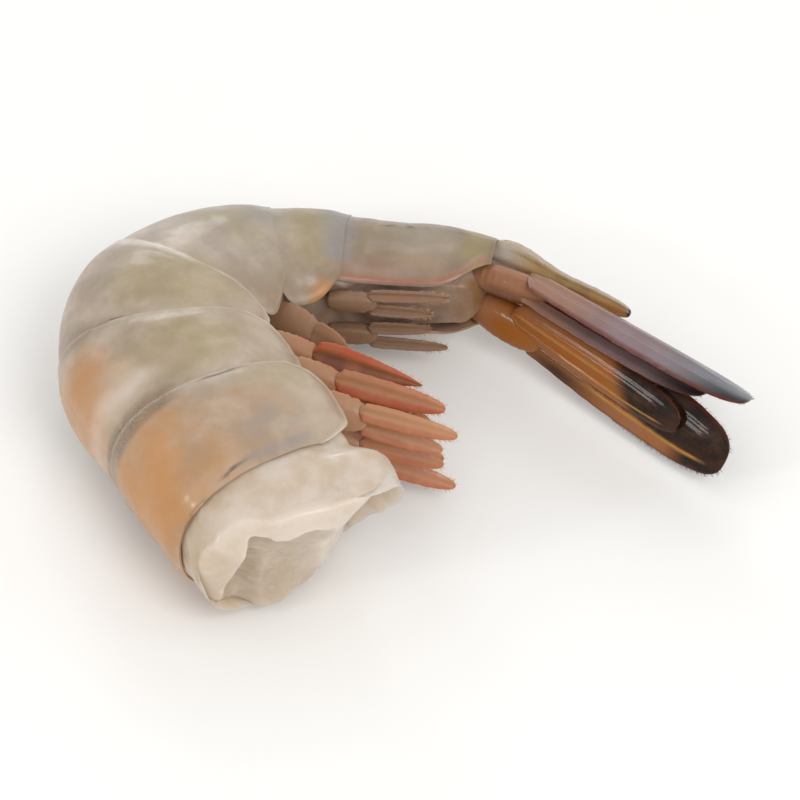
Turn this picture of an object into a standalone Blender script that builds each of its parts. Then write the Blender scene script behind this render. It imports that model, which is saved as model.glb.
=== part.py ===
"""Raw gulf shrimp: one tail, head off and shell on, curled up and lying on its right side.

Everything is placed in the animal's own coordinates: the distance along a curved spine from the torn
front end, the depth towards the back, and the side distance towards the animal's left, which is up.
"""

import math

import bmesh
import bpy
import numpy as np

MM = 0.001

# The body from the torn front end to the joint of the tail fan. Each row is a stretch of the spine: its
# length, the spine's heading on the table at its front in degrees, then the half depth of the back, of
# the belly and the half width there, and the height of the spine over the table, in millimetres.
BODY = (
    # stretch      length heading back belly width height
    ("neck", 7.0, 118.5, 11.0, 12.2, 8.4, 9.9),
    ("segment 1", 13.0, 119.5, 11.9, 12.4, 9.5, 10.5),
    ("segment 2", 11.0, 118.0, 11.8, 12.0, 9.8, 10.7),
    ("segment 3", 9.0, 100.5, 13.6, 10.4, 9.8, 10.7),
    ("segment 4", 11.5, 61.0, 13.7, 9.8, 9.0, 10.5),
    ("segment 5", 8.0, 16.0, 9.4, 8.1, 7.7, 9.3),
    ("segment 6", 17.5, 3.0, 7.8, 6.1, 5.8, 9.2),
    ("hinge", 6.0, -9.5, 5.1, 4.3, 3.8, 8.9),
    ("end", 0.0, -20.0, 3.0, 3.0, 3.0, 8.5),
)
BACK_ROUNDNESS = 2.15         # exponent of the section's curve over the back
BELLY_ROUNDNESS = 2.5         # and under the belly, which is flatter
KEEL = (0, 0.4, 0.8, 0.7)     # height of the back's ridge at the fronts of segments 3, 5, 6 and the hinge
KEEL_TURN = 0.2               # and its half width round the body, in radians
SPINE_STEP = 0.25 * MM
SPINE_FRONT = -12 * MM        # the spine runs on this far past the torn end
TAIL = 7                      # the row of the table where the tail fan is jointed

GAP = 0.3 * MM                # air between pieces that touch
SHELL = 0.5 * MM              # thickness of a shell plate
OUTERMOST = 2 * (GAP + SHELL)  # how far a plate's rear edge stands off the meat
WELD = 0.02 * MM              # points of a joined mesh that are closer than this become one
OVERLAP = 2.4 * MM            # how far a plate reaches under the one before it

ORIGIN = (-10.38 * MM, -18.02 * MM)  # the middle of the whole part on the table, in spine coordinates

COLOURS = {
    # name: red, green, blue in linear light, roughness
    "shell": (0.50, 0.40, 0.28, 0.30),
    "meat": (0.78, 0.70, 0.58, 0.35),
    "swimmeret": (0.55, 0.20, 0.12, 0.35),
    "uropod": (0.16, 0.09, 0.06, 0.30),
    "telson": (0.30, 0.24, 0.15, 0.30),
}


def clear_scene():
    """Remove every object, so that the script starts from an empty scene."""
    for obj in list(bpy.data.objects):
        bpy.data.objects.remove(obj, do_unlink=True)


def make_material(name):
    """A Principled material in the named colour."""
    red, green, blue, roughness = COLOURS[name]
    material = bpy.data.materials.new(name)
    material.use_nodes = True
    shader = material.node_tree.nodes["Principled BSDF"]
    shader.inputs["Base Color"].default_value = (red, green, blue, 1.0)
    shader.inputs["Roughness"].default_value = roughness
    shader.inputs["Metallic"].default_value = 0.0
    return material


# ---------------------------------------------------------------- the spine and the body's section


def smooth_table(places, values):
    """A function that runs smoothly through the values at the places."""
    places = np.asarray(places, float)
    values = np.asarray(values, float)
    slopes = np.gradient(values, places)

    def read(at):
        at = np.clip(np.asarray(at, float), places[0], places[-1])
        cell = np.clip(np.searchsorted(places, at, side="right") - 1, 0, len(places) - 2)
        width = places[cell + 1] - places[cell]
        t = (at - places[cell]) / width
        return (
            (2 * t**3 - 3 * t**2 + 1) * values[cell]
            + (t**3 - 2 * t**2 + t) * width * slopes[cell]
            + (3 * t**2 - 2 * t**3) * values[cell + 1]
            + (t**3 - t**2) * width * slopes[cell + 1]
        )

    return read


STARTS = np.concatenate([[0.0], np.cumsum([row[1] for row in BODY[:-1]])]) * MM
heading_at = smooth_table(STARTS, np.radians([row[2] for row in BODY]))
back_at = smooth_table(STARTS, [row[3] * MM for row in BODY])
belly_at = smooth_table(STARTS, [row[4] * MM for row in BODY])
width_at = smooth_table(STARTS, [row[5] * MM for row in BODY])
height_at = smooth_table(STARTS, [row[6] * MM for row in BODY])


def walk_spine():
    """Distances along the spine and the x and y there, by adding up short steps along the heading."""
    along = np.arange(SPINE_FRONT, STARTS[-1], SPINE_STEP)
    heading = heading_at(along)
    x = np.cumsum(np.cos(heading)) * SPINE_STEP
    y = np.cumsum(np.sin(heading)) * SPINE_STEP
    tail = np.argmin(np.abs(along - STARTS[TAIL]))
    return along, x - x[tail], y - y[tail]


SPINE_ALONG, SPINE_X, SPINE_Y = walk_spine()


def place(along, back, left):
    """Points of the part from animal coordinates: along the spine, towards the back and to the left."""
    along, back, left = np.broadcast_arrays(along, back, left)
    heading = heading_at(along)
    x = np.interp(along, SPINE_ALONG, SPINE_X) - np.sin(heading) * back - ORIGIN[0]
    y = np.interp(along, SPINE_ALONG, SPINE_Y) + np.cos(heading) * back - ORIGIN[1]
    return np.stack([x, y, height_at(along) + left], axis=-1)


def signed_power(value, power):
    """The value raised to a power, with its sign kept."""
    return np.sign(value) * np.abs(value) ** power


def smooth_step(value, low, high):
    """0 below low, 1 above high, and a soft ramp between them."""
    t = np.clip((value - low) / (high - low), 0.0, 1.0)
    return t * t * (3 - 2 * t)


def section(along, turn, stand_off):
    """The body's rounded section: how far towards the back and to the left its skin lies.

    The turn is 0 on the back and positive over the left side, and stand_off lifts the skin.
    """
    cosine, sine = np.cos(turn), np.sin(turn)
    roundness = np.where(cosine > 0, BACK_ROUNDNESS, BELLY_ROUNDNESS)
    reach = np.where(cosine > 0, back_at(along), belly_at(along)) + stand_off
    keel = np.interp(along, STARTS[[3, 5, 6, TAIL]], KEEL) * MM
    back = reach * signed_power(cosine, 2 / roundness) + keel * np.exp(-((turn / KEEL_TURN) ** 2))
    left = (width_at(along) + stand_off) * signed_power(sine, 2 / roundness)
    return back, left


def lay_down(points, stand_off):
    """Press the side that lies on the table flat, each layer above the one outside it."""
    points[..., 2] = np.maximum(points[..., 2], OUTERMOST - stand_off)
    return points


# ---------------------------------------------------------------------------- ways to make a piece


def turn_outwards(bm):
    """Point the faces of a closed mesh outwards."""
    bmesh.ops.recalc_face_normals(bm, faces=bm.faces)
    if bm.calc_volume(signed=True) < 0:
        bmesh.ops.reverse_faces(bm, faces=bm.faces)


def sphere_mesh(name, rings, sides, shape):
    """A closed form: a UV sphere whose points are moved by shape(t, angle).

    t runs from 0 at one pole to 1 at the other, and shape gives one point for each pair.
    """
    bm = bmesh.new()
    bmesh.ops.create_uvsphere(bm, u_segments=sides, v_segments=rings, radius=1.0)
    start = np.array([vert.co for vert in bm.verts])
    t = np.arccos(np.clip(start[:, 2], -1, 1)) / math.pi
    angle = np.arctan2(start[:, 1], start[:, 0])
    for vert, point in zip(bm.verts, shape(t, angle)):
        vert.co = point
    bmesh.ops.triangulate(bm, faces=bm.faces)
    turn_outwards(bm)
    mesh = bpy.data.meshes.new(name)
    bm.to_mesh(mesh)
    bm.free()
    return mesh


def sheet_mesh(name, columns, rows, shape):
    """An open sheet: a grid whose points are moved by shape(u, v), with u and v from 0 to 1."""
    bm = bmesh.new()
    bmesh.ops.create_grid(bm, x_segments=columns, y_segments=rows, size=1.0)
    start = np.array([vert.co for vert in bm.verts])
    for vert, point in zip(bm.verts, shape((start[:, 0] + 1) / 2, (start[:, 1] + 1) / 2)):
        vert.co = point
    mesh = bpy.data.meshes.new(name)
    bm.to_mesh(mesh)
    bm.free()
    return mesh


def add_piece(name, mesh, material, collection):
    """Make the mesh an object of the part, smooth except at its sharp edges."""
    mesh.shade_smooth()
    mesh.set_sharp_from_angle(angle=math.radians(50))
    obj = bpy.data.objects.new(name, mesh)
    obj.data.materials.append(material)
    collection.objects.link(obj)
    return obj


def fuse(name, meshes):
    """One mesh from several closed ones that cross, by a Boolean union."""
    first, *others = [bpy.data.objects.new(f"{name}_{i}", mesh) for i, mesh in enumerate(meshes)]
    holder = bpy.data.collections.new(f"{name}_joined")
    bpy.context.scene.collection.children.link(holder)
    bpy.context.scene.collection.objects.link(first)
    for other in others:
        holder.objects.link(other)
    union = first.modifiers.new("union", "BOOLEAN")
    union.operation = "UNION"
    union.operand_type = "COLLECTION"
    union.collection = holder
    graph = bpy.context.evaluated_depsgraph_get()
    bm = bmesh.new()
    bm.from_object(first, graph)
    for obj in (first, *others):
        bpy.data.objects.remove(obj, do_unlink=True)
    bpy.data.collections.remove(holder)
    bmesh.ops.remove_doubles(bm, verts=bm.verts, dist=WELD)
    bmesh.ops.dissolve_degenerate(bm, edges=bm.edges, dist=WELD)
    bmesh.ops.triangulate(bm, faces=bm.faces)
    mesh = bpy.data.meshes.new(name)
    bm.to_mesh(mesh)
    bm.free()
    return mesh


def unit(vector):
    """The vector at length 1."""
    vector = np.asarray(vector, float)
    return vector / np.linalg.norm(vector)


def direction(heading, drop):
    """A unit vector at a heading on the table, which falls by the angle drop, both in degrees."""
    heading, drop = math.radians(heading), math.radians(drop)
    level = math.cos(drop)
    return np.array([level * math.cos(heading), level * math.sin(heading), -math.sin(drop)])


def blade_mesh(name, base, ahead, across, size, outline, bend=0.0, cup=0.0, *, rings=12, sides=10):
    """A flat, tapering blade from its base, pointing ahead, its width lying across.

    size is its length, width and thickness, outline gives the share of its width at each share of its
    length, bend lifts its tip and cup lifts its edges, both to the side it faces.
    """
    length, width, thickness = size
    ahead = unit(ahead)
    across = unit(np.asarray(across) - np.dot(across, ahead) * ahead)
    facing = np.cross(ahead, across)

    def shape(t, angle):
        share = (1 - np.cos(np.pi * t)) / 2
        half = width / 2 * outline(share)
        side = half * np.cos(angle)
        lift = thickness / 2 * outline(share) ** 0.5 * np.sin(angle)
        lift = lift + bend * share**2 + cup * (side / (width / 2)) ** 2
        return base + np.outer(share * length, ahead) + np.outer(side, across) + np.outer(lift, facing)

    return sphere_mesh(name, rings, sides, shape)


def leaf(widest, root, tip, waist=0.0):
    """The outline of a blade: its width at the root, where it is widest, how blunt its tip is and its waist."""

    def outline(share):
        rise = root + (1 - root) * np.sin(np.clip(share / widest, 0, 1) * np.pi / 2)
        fall = np.clip((share - widest) / (1 - widest), 0, 1)
        round_root = np.clip(share / 0.06, 0, 1) ** 0.5
        narrowing = 1 - waist * smooth_step(share, widest, widest + 0.4)
        return rise * (1 - fall**tip) ** (1 / tip) * round_root * narrowing

    return outline


# ------------------------------------------------------------------------------------ the meat

MEAT_END = STARTS[TAIL] - 4.5 * MM  # where it ends, inside segment 6
BELLY_FLAT = 0.76             # the meat's belly is flat, at this share of the belly's depth
BELLY_BARE = 0.22             # and this much deeper at the torn end
MEAT_BARE = 0.8 * MM          # how much the meat swells where no shell holds it
MEAT_CLEAR = 0.15 * MM        # extra air under the shell, for the flat facets
MEAT_RAISED = 0.6 * MM        # and extra air under its flattened side
FACE_SHARE = 0.22             # share of the rings that make the torn face
FACE_PLACE = 1.5 * MM         # where the middle of the torn face lies along the spine
FACE_SLANT = (-0.2 * MM, 2.4 * MM)  # how much further forward it lies at the back and at the left
FACE_TWIST = 4.2 * MM         # how much further back it lies low on the belly side, and high on the back
FACE_DOME = 2.0 * MM          # how far the torn face bulges,
FACE_LUMP = 1.6 * MM          # with one lump
FACE_HOLLOW = 3.4 * MM        # and one hollow in it
FACE_CUT = 4.2 * MM            # and how far it is cut back beside the belly
FLARE = 0.18                  # how much the flesh flares out beside the belly on the left,
FLARE_TURN = math.radians(138)  # at this turn
FLARE_SPREAD = math.radians(26)
FACE_BARE = (2.5 * MM, 6.6 * MM)  # the stretch of the spine over which the swelling dies away
MEAT_LAST = 0.97              # share of the rings where the meat's rear end starts to close


def bump(back, left, middle, spread):
    """A soft round bump of height 1, by its middle and its spread towards the back and to the left."""
    return np.exp(-(((back - middle[0]) / spread[0]) ** 2) - ((left - middle[1]) / spread[1]) ** 2)


def torn_face(back, left):
    """How far the torn face stands forward of its rim, at a place from -1 to 1 across the section."""
    dome = FACE_DOME * np.sqrt(np.clip(1 - back**2 - left**2, 0, 1))
    lump = FACE_LUMP * bump(back, left, (-0.25, 0.35), (0.4, 0.4))
    hollow = FACE_HOLLOW * bump(back, left, (0.28, -0.05), (0.48, 0.50))
    cut = FACE_CUT * bump(back, left, (-0.85, 0.25), (0.50, 0.65))
    return dome + lump - hollow - cut


def meat_points(t, angle):
    """The meat: a torn face, then the body's section with a flat belly, closed inside segment 6."""
    share = np.interp(t, [0, FACE_SHARE, MEAT_LAST, 1], [0, 1, 1, 0])
    across_back, across_left = share * np.cos(angle), share * np.sin(angle)
    slant = FACE_PLACE - FACE_SLANT[0] * across_back - FACE_SLANT[1] * across_left
    slant = slant + FACE_TWIST * across_back * across_left
    front = slant - torn_face(across_back, across_left) * (t < FACE_SHARE)
    along = front + (MEAT_END - front) * np.interp(t, [FACE_SHARE, MEAT_LAST], [0, 1])
    bare = 1 - smooth_step(along, *FACE_BARE)
    back, left = section(np.maximum(along, 0), angle, MEAT_BARE * bare - MEAT_CLEAR)
    back = np.maximum(back, -(BELLY_FLAT + BELLY_BARE * bare) * belly_at(along))
    flare = 1 + FLARE * bare * np.exp(-(((angle - FLARE_TURN) / FLARE_SPREAD) ** 2))
    share = share * flare
    rim = 1 - 0.05 * (1 - smooth_step(t, FACE_SHARE, FACE_SHARE + 0.08))
    return lay_down(place(along, back * share * rim, left * share * rim), -MEAT_RAISED)


def make_meat(collection):
    """The white meat, which shows at the torn front end and along the belly."""
    mesh = sphere_mesh("meat", 36, 26, meat_points)
    return add_piece("meat", mesh, make_material("meat"), collection)


# ------------------------------------------------------------------------------- the shell plates

FLAP_TURN = 154.0             # how far round the body a plate's flap reaches, in degrees
FLAP_CORNER = 124.0           # and how far its front and rear edges do
LAST_FLAP_TURN = 140.0        # the same for the last plate
LAST_FLAP_CORNER = 130.0
FIRST_FRONT = 0.6 * MM        # how far the first plate starts before its segment
EDGE_SLANT = 1.2 * MM         # how much further back a plate's edges lie on the back than at the flaps
EDGE_RISE = (0.26, 0.80)      # share of a plate's length over which it lifts over the next plate
FLAP_MIDDLE = 1.06            # the flap is longest here, from 0 at the front edge to 2 at the rear,
FLAP_SQUARE = 2.6             # and this square


def plate_points(number):
    """The inner surface of one plate: an arch over the back with a rounded flap down each side."""
    front = STARTS[number] - (OVERLAP if number > 1 else FIRST_FRONT)
    rear = STARTS[number + 1]
    lowest = FLAP_TURN if number < 6 else LAST_FLAP_TURN
    corner = FLAP_CORNER if number < 6 else LAST_FLAP_CORNER

    def shape(u, v):
        across = 1 - 2 * v
        flap = 1 - np.abs(2 * u - FLAP_MIDDLE) ** FLAP_SQUARE
        turn = across * np.radians(corner + (lowest - corner) * flap)
        share = {1: 2 * u - 1, 6: 1 - u}.get(number, 1)
        along = front + u * (rear - front) + EDGE_SLANT * share * np.cos(turn)
        stand_off = GAP + (GAP + SHELL) * smooth_step(u, *EDGE_RISE)
        back, left = section(along, turn, stand_off)
        return lay_down(place(along, back, left), stand_off)

    return shape


def make_plate(number, collection, material):
    """One of the six overlapping plates of the shell."""
    name = f"shell_{number}"
    columns = 7 if number < 6 else 8
    obj = add_piece(name, sheet_mesh(name, columns, 28, plate_points(number)), material, collection)
    wall = obj.modifiers.new("wall", "SOLIDIFY")
    wall.thickness = SHELL
    wall.offset = 1.0
    return obj


# ------------------------------------------------------------------------------- the swimmerets

# One row for each pair: where it grows along the spine, the heading and the fall of the left one in
# degrees, and the lengths of its stalk, outer blade and inner blade in millimetres.
SWIMMERETS = (
    # along heading drop stalk outer inner
    (17.5, -13.0, 10.0, 6.0, 12.0, 10.5),
    (25.0, -15.0, 9.0, 6.5, 13.5, 12.0),
    (32.0, -18.0, 7.0, 6.0, 14.0, 12.0),
    (47.0, -38.0, 6.0, 5.8, 4.6, 4.0),
    (58.0, -4.0, 1.0, 5.0, 10.0, 8.0),
)
ROOT_LEFT = 2.7 * MM          # from the middle of the belly to the root of a swimmeret
STALK_SIZE = (4.2 * MM, 1.7 * MM)
BLADE_SIZE = (2.0 * MM, 0.9 * MM)
BLADE_APART = 1.15 * MM       # each blade's root lies this far outside or inside the stalk's middle
BLADE_SPREAD = 2.0            # and they spread by this much, in degrees
STALK_LAP = 1.2               # the blades start this far inside the stalk's end, in millimetres
STALK_OUTLINE = leaf(0.5, 0.7, 2.5)
BLADE_OUTLINE = leaf(0.3, 0.6, 1.6)


def make_swimmeret(number, side, collection, material):
    """One swimmeret: a flat stalk under the belly with two long blades. side is 1 left or -1 right."""
    along, heading, drop, stalk, outer, inner = SWIMMERETS[number - 1]
    name = f"swimmeret_{'left' if side > 0 else 'right'}_{number}"
    root_back = -BELLY_FLAT * belly_at(along * MM) - GAP - STALK_SIZE[1] / 2
    root = place(along * MM, root_back, side * ROOT_LEFT)
    ahead = direction(heading, drop)
    across = np.array([0, 0, float(side)])
    elbow = root + ahead * (stalk - STALK_LAP) * MM
    size = (stalk * MM, *STALK_SIZE)
    meshes = [blade_mesh(name, root, ahead, across, size, STALK_OUTLINE, rings=7, sides=8)]
    for spread, length in ((1, outer), (-1, inner)):
        ramus = direction(heading, drop - side * spread * BLADE_SPREAD)
        start = elbow + np.array([0, 0, side * spread * BLADE_APART])
        size = (length * MM, *BLADE_SIZE)
        meshes.append(blade_mesh(name, start, ramus, across, size, BLADE_OUTLINE, rings=7, sides=8))
    return add_piece(name, fuse(name, meshes), material, collection)


# --------------------------------------------------------------------------------- the tail fan

# One row for each piece: base, from the tail's joint along its heading, towards the back and to the
# left; its heading and fall in degrees; the direction of its width, towards the back and to the left;
# its length, width and thickness; the lift of its tip and of its edges.
FAN_HEADING = -36.0
FAN_OUTLINES = {
    "telson": leaf(0.2, 0.45, 3.0, waist=0.42),
    "base": leaf(0.5, 0.75, 2.6),
    "blade": leaf(0.6, 0.75, 3.0),
}
FAN = (
    # name              base               heading drop across        size              bend cup
    ("telson", (-3.0, 3.0, 1.2), -26.0, 5.0, (0.45, 0.9), (19.0, 5.2, 1.8), 0.0, -0.9),
    ("uropod_base_left", (-1.0, -0.7, 2.0), -29.0, -3.0, (-0.5, 0.8), (8.0, 5.4, 3.6), 0.0, 0.0),
    ("uropod_base_right", (-0.5, -1.3, -2.4), -38.0, 2.0, (-0.5, -0.86), (7.9, 5.0, 2.6), 0.0, 0.0),
    ("uropod_inner_left", (7.7, 0.1, 2.3), -36.0, 4.0, (-0.93, 0.37), (23.5, 7.2, 0.8), 0.0, 0.5),
    ("uropod_outer_left", (7.2, 0.6, 4.1), -36.0, 4.0, (-0.86, 0.50), (29.25, 8.4, 0.9), 0.0, 0.5),
    ("uropod_inner_right", (7.6, -1.95, -0.6), -41.4, 3.9, (-0.40, -0.92), (22.5, 5.6, 0.8), 0.0, 0.5),
    ("uropod_outer_right", (7.6, -1.2, -2.1), -41.7, 3.7, (-0.5, -0.86), (29.2, 8.8, 0.9), 0.0, 0.5),
)


def make_fan_piece(row, collection, materials):
    """One blade or lobe of the tail fan."""
    name, base, heading, drop, across, size, bend, cup = row
    tail = place(STARTS[TAIL], 0, 0)
    turn = math.radians(FAN_HEADING)
    ahead_axis = np.array([math.cos(turn), math.sin(turn), 0])
    back_axis = np.array([-math.sin(turn), math.cos(turn), 0])
    left_axis = np.array([0, 0, 1.0])
    start = tail + (base[0] * ahead_axis + base[1] * back_axis + base[2] * left_axis) * MM
    wide = across[0] * back_axis + across[1] * left_axis
    outline = next((FAN_OUTLINES[key] for key in ("telson", "base") if key in name), FAN_OUTLINES["blade"])
    lengths = tuple(value * MM for value in size)
    mesh = blade_mesh(name, start, direction(heading, drop), wide, lengths, outline, bend * MM, cup * MM)
    return add_piece(name, mesh, materials["telson" if name == "telson" else "uropod"], collection)


def main():
    clear_scene()
    collection = bpy.data.collections.new("raw shrimp")
    bpy.context.scene.collection.children.link(collection)
    materials = {name: make_material(name) for name in COLOURS if name != "meat"}
    make_meat(collection)
    for number in range(1, 7):
        make_plate(number, collection, materials["shell"])
    for number in range(1, 6):
        for side in (1, -1):
            make_swimmeret(number, side, collection, materials["swimmeret"])
    for row in FAN:
        make_fan_piece(row, collection, materials)


main()
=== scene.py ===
"""Raw gulf shrimp: the looks of one raw tail, head off and shell on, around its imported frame.

The shrimp is curled and lies on its right side. Every piece is shaped in the animal's own coordinates:
the distance along a curved spine from the torn front end, the depth towards the back, and the side
distance towards the animal's left, which is up. They are the ones that its solids were made with.
"""

import logging
import math
from collections.abc import Callable
from dataclasses import dataclass
from enum import Enum
from typing import ClassVar

import bpy
import numpy as np
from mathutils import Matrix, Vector


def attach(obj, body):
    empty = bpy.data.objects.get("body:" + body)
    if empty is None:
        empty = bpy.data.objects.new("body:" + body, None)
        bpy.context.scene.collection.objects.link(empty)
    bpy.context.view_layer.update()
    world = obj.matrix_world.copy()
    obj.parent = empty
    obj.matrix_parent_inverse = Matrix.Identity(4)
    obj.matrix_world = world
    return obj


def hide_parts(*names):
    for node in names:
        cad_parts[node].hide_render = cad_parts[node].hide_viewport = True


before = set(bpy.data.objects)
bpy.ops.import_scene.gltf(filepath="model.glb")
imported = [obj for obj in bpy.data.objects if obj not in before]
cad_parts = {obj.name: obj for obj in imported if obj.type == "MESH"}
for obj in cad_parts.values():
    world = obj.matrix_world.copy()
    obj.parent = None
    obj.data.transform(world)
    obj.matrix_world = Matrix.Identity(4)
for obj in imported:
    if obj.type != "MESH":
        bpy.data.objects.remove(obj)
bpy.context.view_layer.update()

LOG = logging.getLogger("shrimp")
MM = 0.001
Array = np.ndarray
Piece = bpy.types.Object
Tree = bpy.types.NodeTree
Socket = bpy.types.NodeSocket
Curve = Callable[[Array], Array]
Marks = dict[str, Array | float]                      # a share from 0 to 1 for each point, by name
Shape = Callable[[Array, Array], tuple[Array, Marks]]
ReliefRule = Callable[[Array, Array], Array]
MarkRule = Callable[[Array, Array, Array], Marks]


# ------------------------------------------------------------------------------------- small sums


def ramp(value: Array, zero: float, one: float) -> Array:
    """A soft ramp, which falls where its second end is the lower one.

    Args:
        value: Where to read the ramp.
        zero: Where it is 0.
        one: Where it is 1.

    Returns:
        The ramp's height at each value.
    """
    t = np.clip((np.asarray(value, float) - zero) / (one - zero), 0.0, 1.0)
    return t * t * (3 - 2 * t)


def signed_power(value: Array, power: float | Array) -> Array:
    """The value raised to a power, with its sign kept."""
    return np.sign(value) * np.abs(value) ** power


def hump(value: Array, middle: float | Array, spread: float | Array) -> Array:
    """A soft bump of height 1 at the middle, which has died away at about twice the spread."""
    return np.exp(-(((value - middle) / spread) ** 2))


def as_points(*columns: Array | float) -> Array:
    """One point per row from its coordinates."""
    return np.stack(np.broadcast_arrays(*columns), axis=-1)


@dataclass(frozen=True)
class Wave:
    """One size of smooth noise."""

    height: float
    length: float             # the usual distance from crest to crest, in the unit of its places
    seed: int
    sines: int = 14           # how many waves are added up
    spread: tuple[float, float] = (0.6, 1.5)      # how much closer or further apart their crests may be

    def at(self, points: Array) -> Array:
        """The noise from sine waves in random directions.

        Args:
            points: Places in space, one per row.

        Returns:
            A height for each place, mostly within the wave's own height on either side of 0.
        """
        random = np.random.default_rng(self.seed)
        ways = random.normal(size=(self.sines, points.shape[-1]))
        ways *= 2 * math.pi / self.length / np.linalg.norm(ways, axis=1, keepdims=True)
        ways *= random.uniform(*self.spread, (self.sines, 1))
        phases = random.uniform(0, 2 * math.pi, self.sines)
        return self.height * np.sin(points @ ways.T + phases).sum(axis=-1) / math.sqrt(self.sines)


def ripple(points: Array, *waves: Wave) -> Array:
    """Smooth noise of several sizes, added up at each point."""
    return sum(wave.at(points) for wave in waves)


def smooth_table(places: Array, values: Array) -> Curve:
    """A curve that runs smoothly through a few values.

    Args:
        places: Where the values are given, in rising order.
        values: The value at each place.

    Returns:
        A function that reads the curve, and holds its ends beyond them.
    """
    slopes = np.gradient(values, places)

    def read(at: Array) -> Array:
        """Read the curve.

        Args:
            at: The places to read it at.

        Returns:
            The value at each place.
        """
        at = np.clip(np.asarray(at, float), places[0], places[-1])
        cell = np.clip(np.searchsorted(places, at, side="right") - 1, 0, len(places) - 2)
        width = places[cell + 1] - places[cell]
        t = (at - places[cell]) / width
        return (
            (2 * t**3 - 3 * t**2 + 1) * values[cell]
            + (t**3 - 2 * t**2 + t) * width * slopes[cell]
            + (3 * t**2 - 2 * t**3) * values[cell + 1]
            + (t**3 - t**2) * width * slopes[cell + 1]
        )

    return read


def unit(vector: Array) -> Array:
    """The vector at length 1."""
    return vector / np.linalg.norm(vector)


def direction(heading: float, drop: float) -> Array:
    """A unit vector at a heading on the table, which falls by the angle drop, both in degrees."""
    heading, drop = math.radians(heading), math.radians(drop)
    return np.array([math.cos(drop) * math.cos(heading), math.cos(drop) * math.sin(heading), -math.sin(drop)])


# ------------------------------------------------------------------------------- the body's plan


class BodyPlan:
    """The spine and the body's sections, in metres, with the same sizes as the solids."""

    # length of the stretch, heading in degrees, depth of back and belly, half width, height of the spine
    ROWS = (
        (7.0, 118.5, 11.0, 12.2, 8.4, 9.9),
        (13.0, 119.5, 11.9, 12.4, 9.5, 10.5),
        (11.0, 118.0, 11.8, 12.0, 9.8, 10.7),
        (9.0, 100.5, 13.6, 10.4, 9.8, 10.7),
        (11.5, 61.0, 13.7, 9.8, 9.0, 10.5),
        (8.0, 16.0, 9.4, 8.1, 7.7, 9.3),
        (17.5, 3.0, 7.8, 6.1, 5.8, 9.2),
        (6.0, -9.5, 5.1, 4.3, 3.8, 8.9),
        (0.0, -20.0, 3.0, 3.0, 3.0, 8.5),
    )
    TAIL = 7                          # the row where the last plate ends and the tail fan starts
    BACK_ROUNDNESS = 2.15
    BELLY_ROUNDNESS = 2.5
    KEEL_ROWS = [3, 5, 6, TAIL]
    KEEL = (0, 0.4, 0.8, 0.7)         # the keel's height at those rows, in millimetres
    KEEL_TURN = 0.2                   # its breadth, as an angle round the body
    SPINE_STEP = 0.25 * MM
    SPINE_FRONT = -12 * MM
    ORIGIN = (-10.38 * MM, -18.02 * MM)

    def __init__(self) -> None:
        """Work out the tables and walk along the spine."""
        rows = np.array(self.ROWS)
        self.starts = np.concatenate([[0.0], np.cumsum(rows[:-1, 0])]) * MM
        self.heading = smooth_table(self.starts, np.radians(rows[:, 1]))
        self.back, self.belly, self.width, self.height = (
            smooth_table(self.starts, rows[:, column] * MM) for column in range(2, 6)
        )
        self.along = np.arange(self.SPINE_FRONT, self.starts[-1], self.SPINE_STEP)
        x = np.cumsum(np.cos(self.heading(self.along))) * self.SPINE_STEP
        y = np.cumsum(np.sin(self.heading(self.along))) * self.SPINE_STEP
        tail = np.argmin(np.abs(self.along - self.starts[self.TAIL]))
        self.x, self.y = x - x[tail] - self.ORIGIN[0], y - y[tail] - self.ORIGIN[1]

    def place(self, along: Array | float, back: Array | float, left: Array | float) -> Array:
        """Points in space from animal coordinates.

        Args:
            along: Distance along the spine.
            back: Depth towards the back.
            left: Side distance towards the animal's left.

        Returns:
            One point per row.
        """
        heading = self.heading(along)
        x = np.interp(along, self.along, self.x) - np.sin(heading) * back
        y = np.interp(along, self.along, self.y) + np.cos(heading) * back
        return as_points(x, y, self.height(along) + left)

    def section(self, along: Array, turn: Array, stand_off: Array) -> tuple[Array, Array]:
        """The body's rounded section.

        Args:
            along: Distance along the spine.
            turn: Angle round the body, 0 on the back and positive over the left side.
            stand_off: How far the surface stands off the skin.

        Returns:
            How far towards the back and to the left the surface lies.
        """
        cosine, sine = np.cos(turn), np.sin(turn)
        roundness = np.where(cosine > 0, self.BACK_ROUNDNESS, self.BELLY_ROUNDNESS)
        reach = np.where(cosine > 0, self.back(along), self.belly(along)) + stand_off
        keel = np.interp(along, self.starts[self.KEEL_ROWS], self.KEEL) * MM
        back = reach * signed_power(cosine, 2 / roundness) + keel * hump(turn, 0, self.KEEL_TURN)
        left = (self.width(along) + stand_off) * signed_power(sine, 2 / roundness)
        return back, left


BODY = BodyPlan()
PRESS = 0.3 * MM              # how softly the flesh turns from its side into the flat it lies on


def lay_down(points: Array, lowest: float | Array) -> Array:
    """Press the side that lies on the table flat, softly.

    Args:
        points: The points, one per row.
        lowest: The height that nothing goes below.

    Returns:
        The same points, pressed flat.
    """
    over = points[..., 2] - lowest
    points[..., 2] = lowest + (over + np.sqrt(over**2 + PRESS**2)) / 2
    return points


# ------------------------------------------------------------------------------- mesh workmanship


def pick(*pieces: Piece) -> None:
    """Select some pieces alone, because an operator acts on all that is selected.

    Args:
        pieces: The pieces, of which the first becomes the active one.
    """
    bpy.ops.object.select_all(action="DESELECT")
    for piece in pieces:
        piece.select_set(True)
    if pieces:
        bpy.context.view_layer.objects.active = pieces[0]


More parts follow.
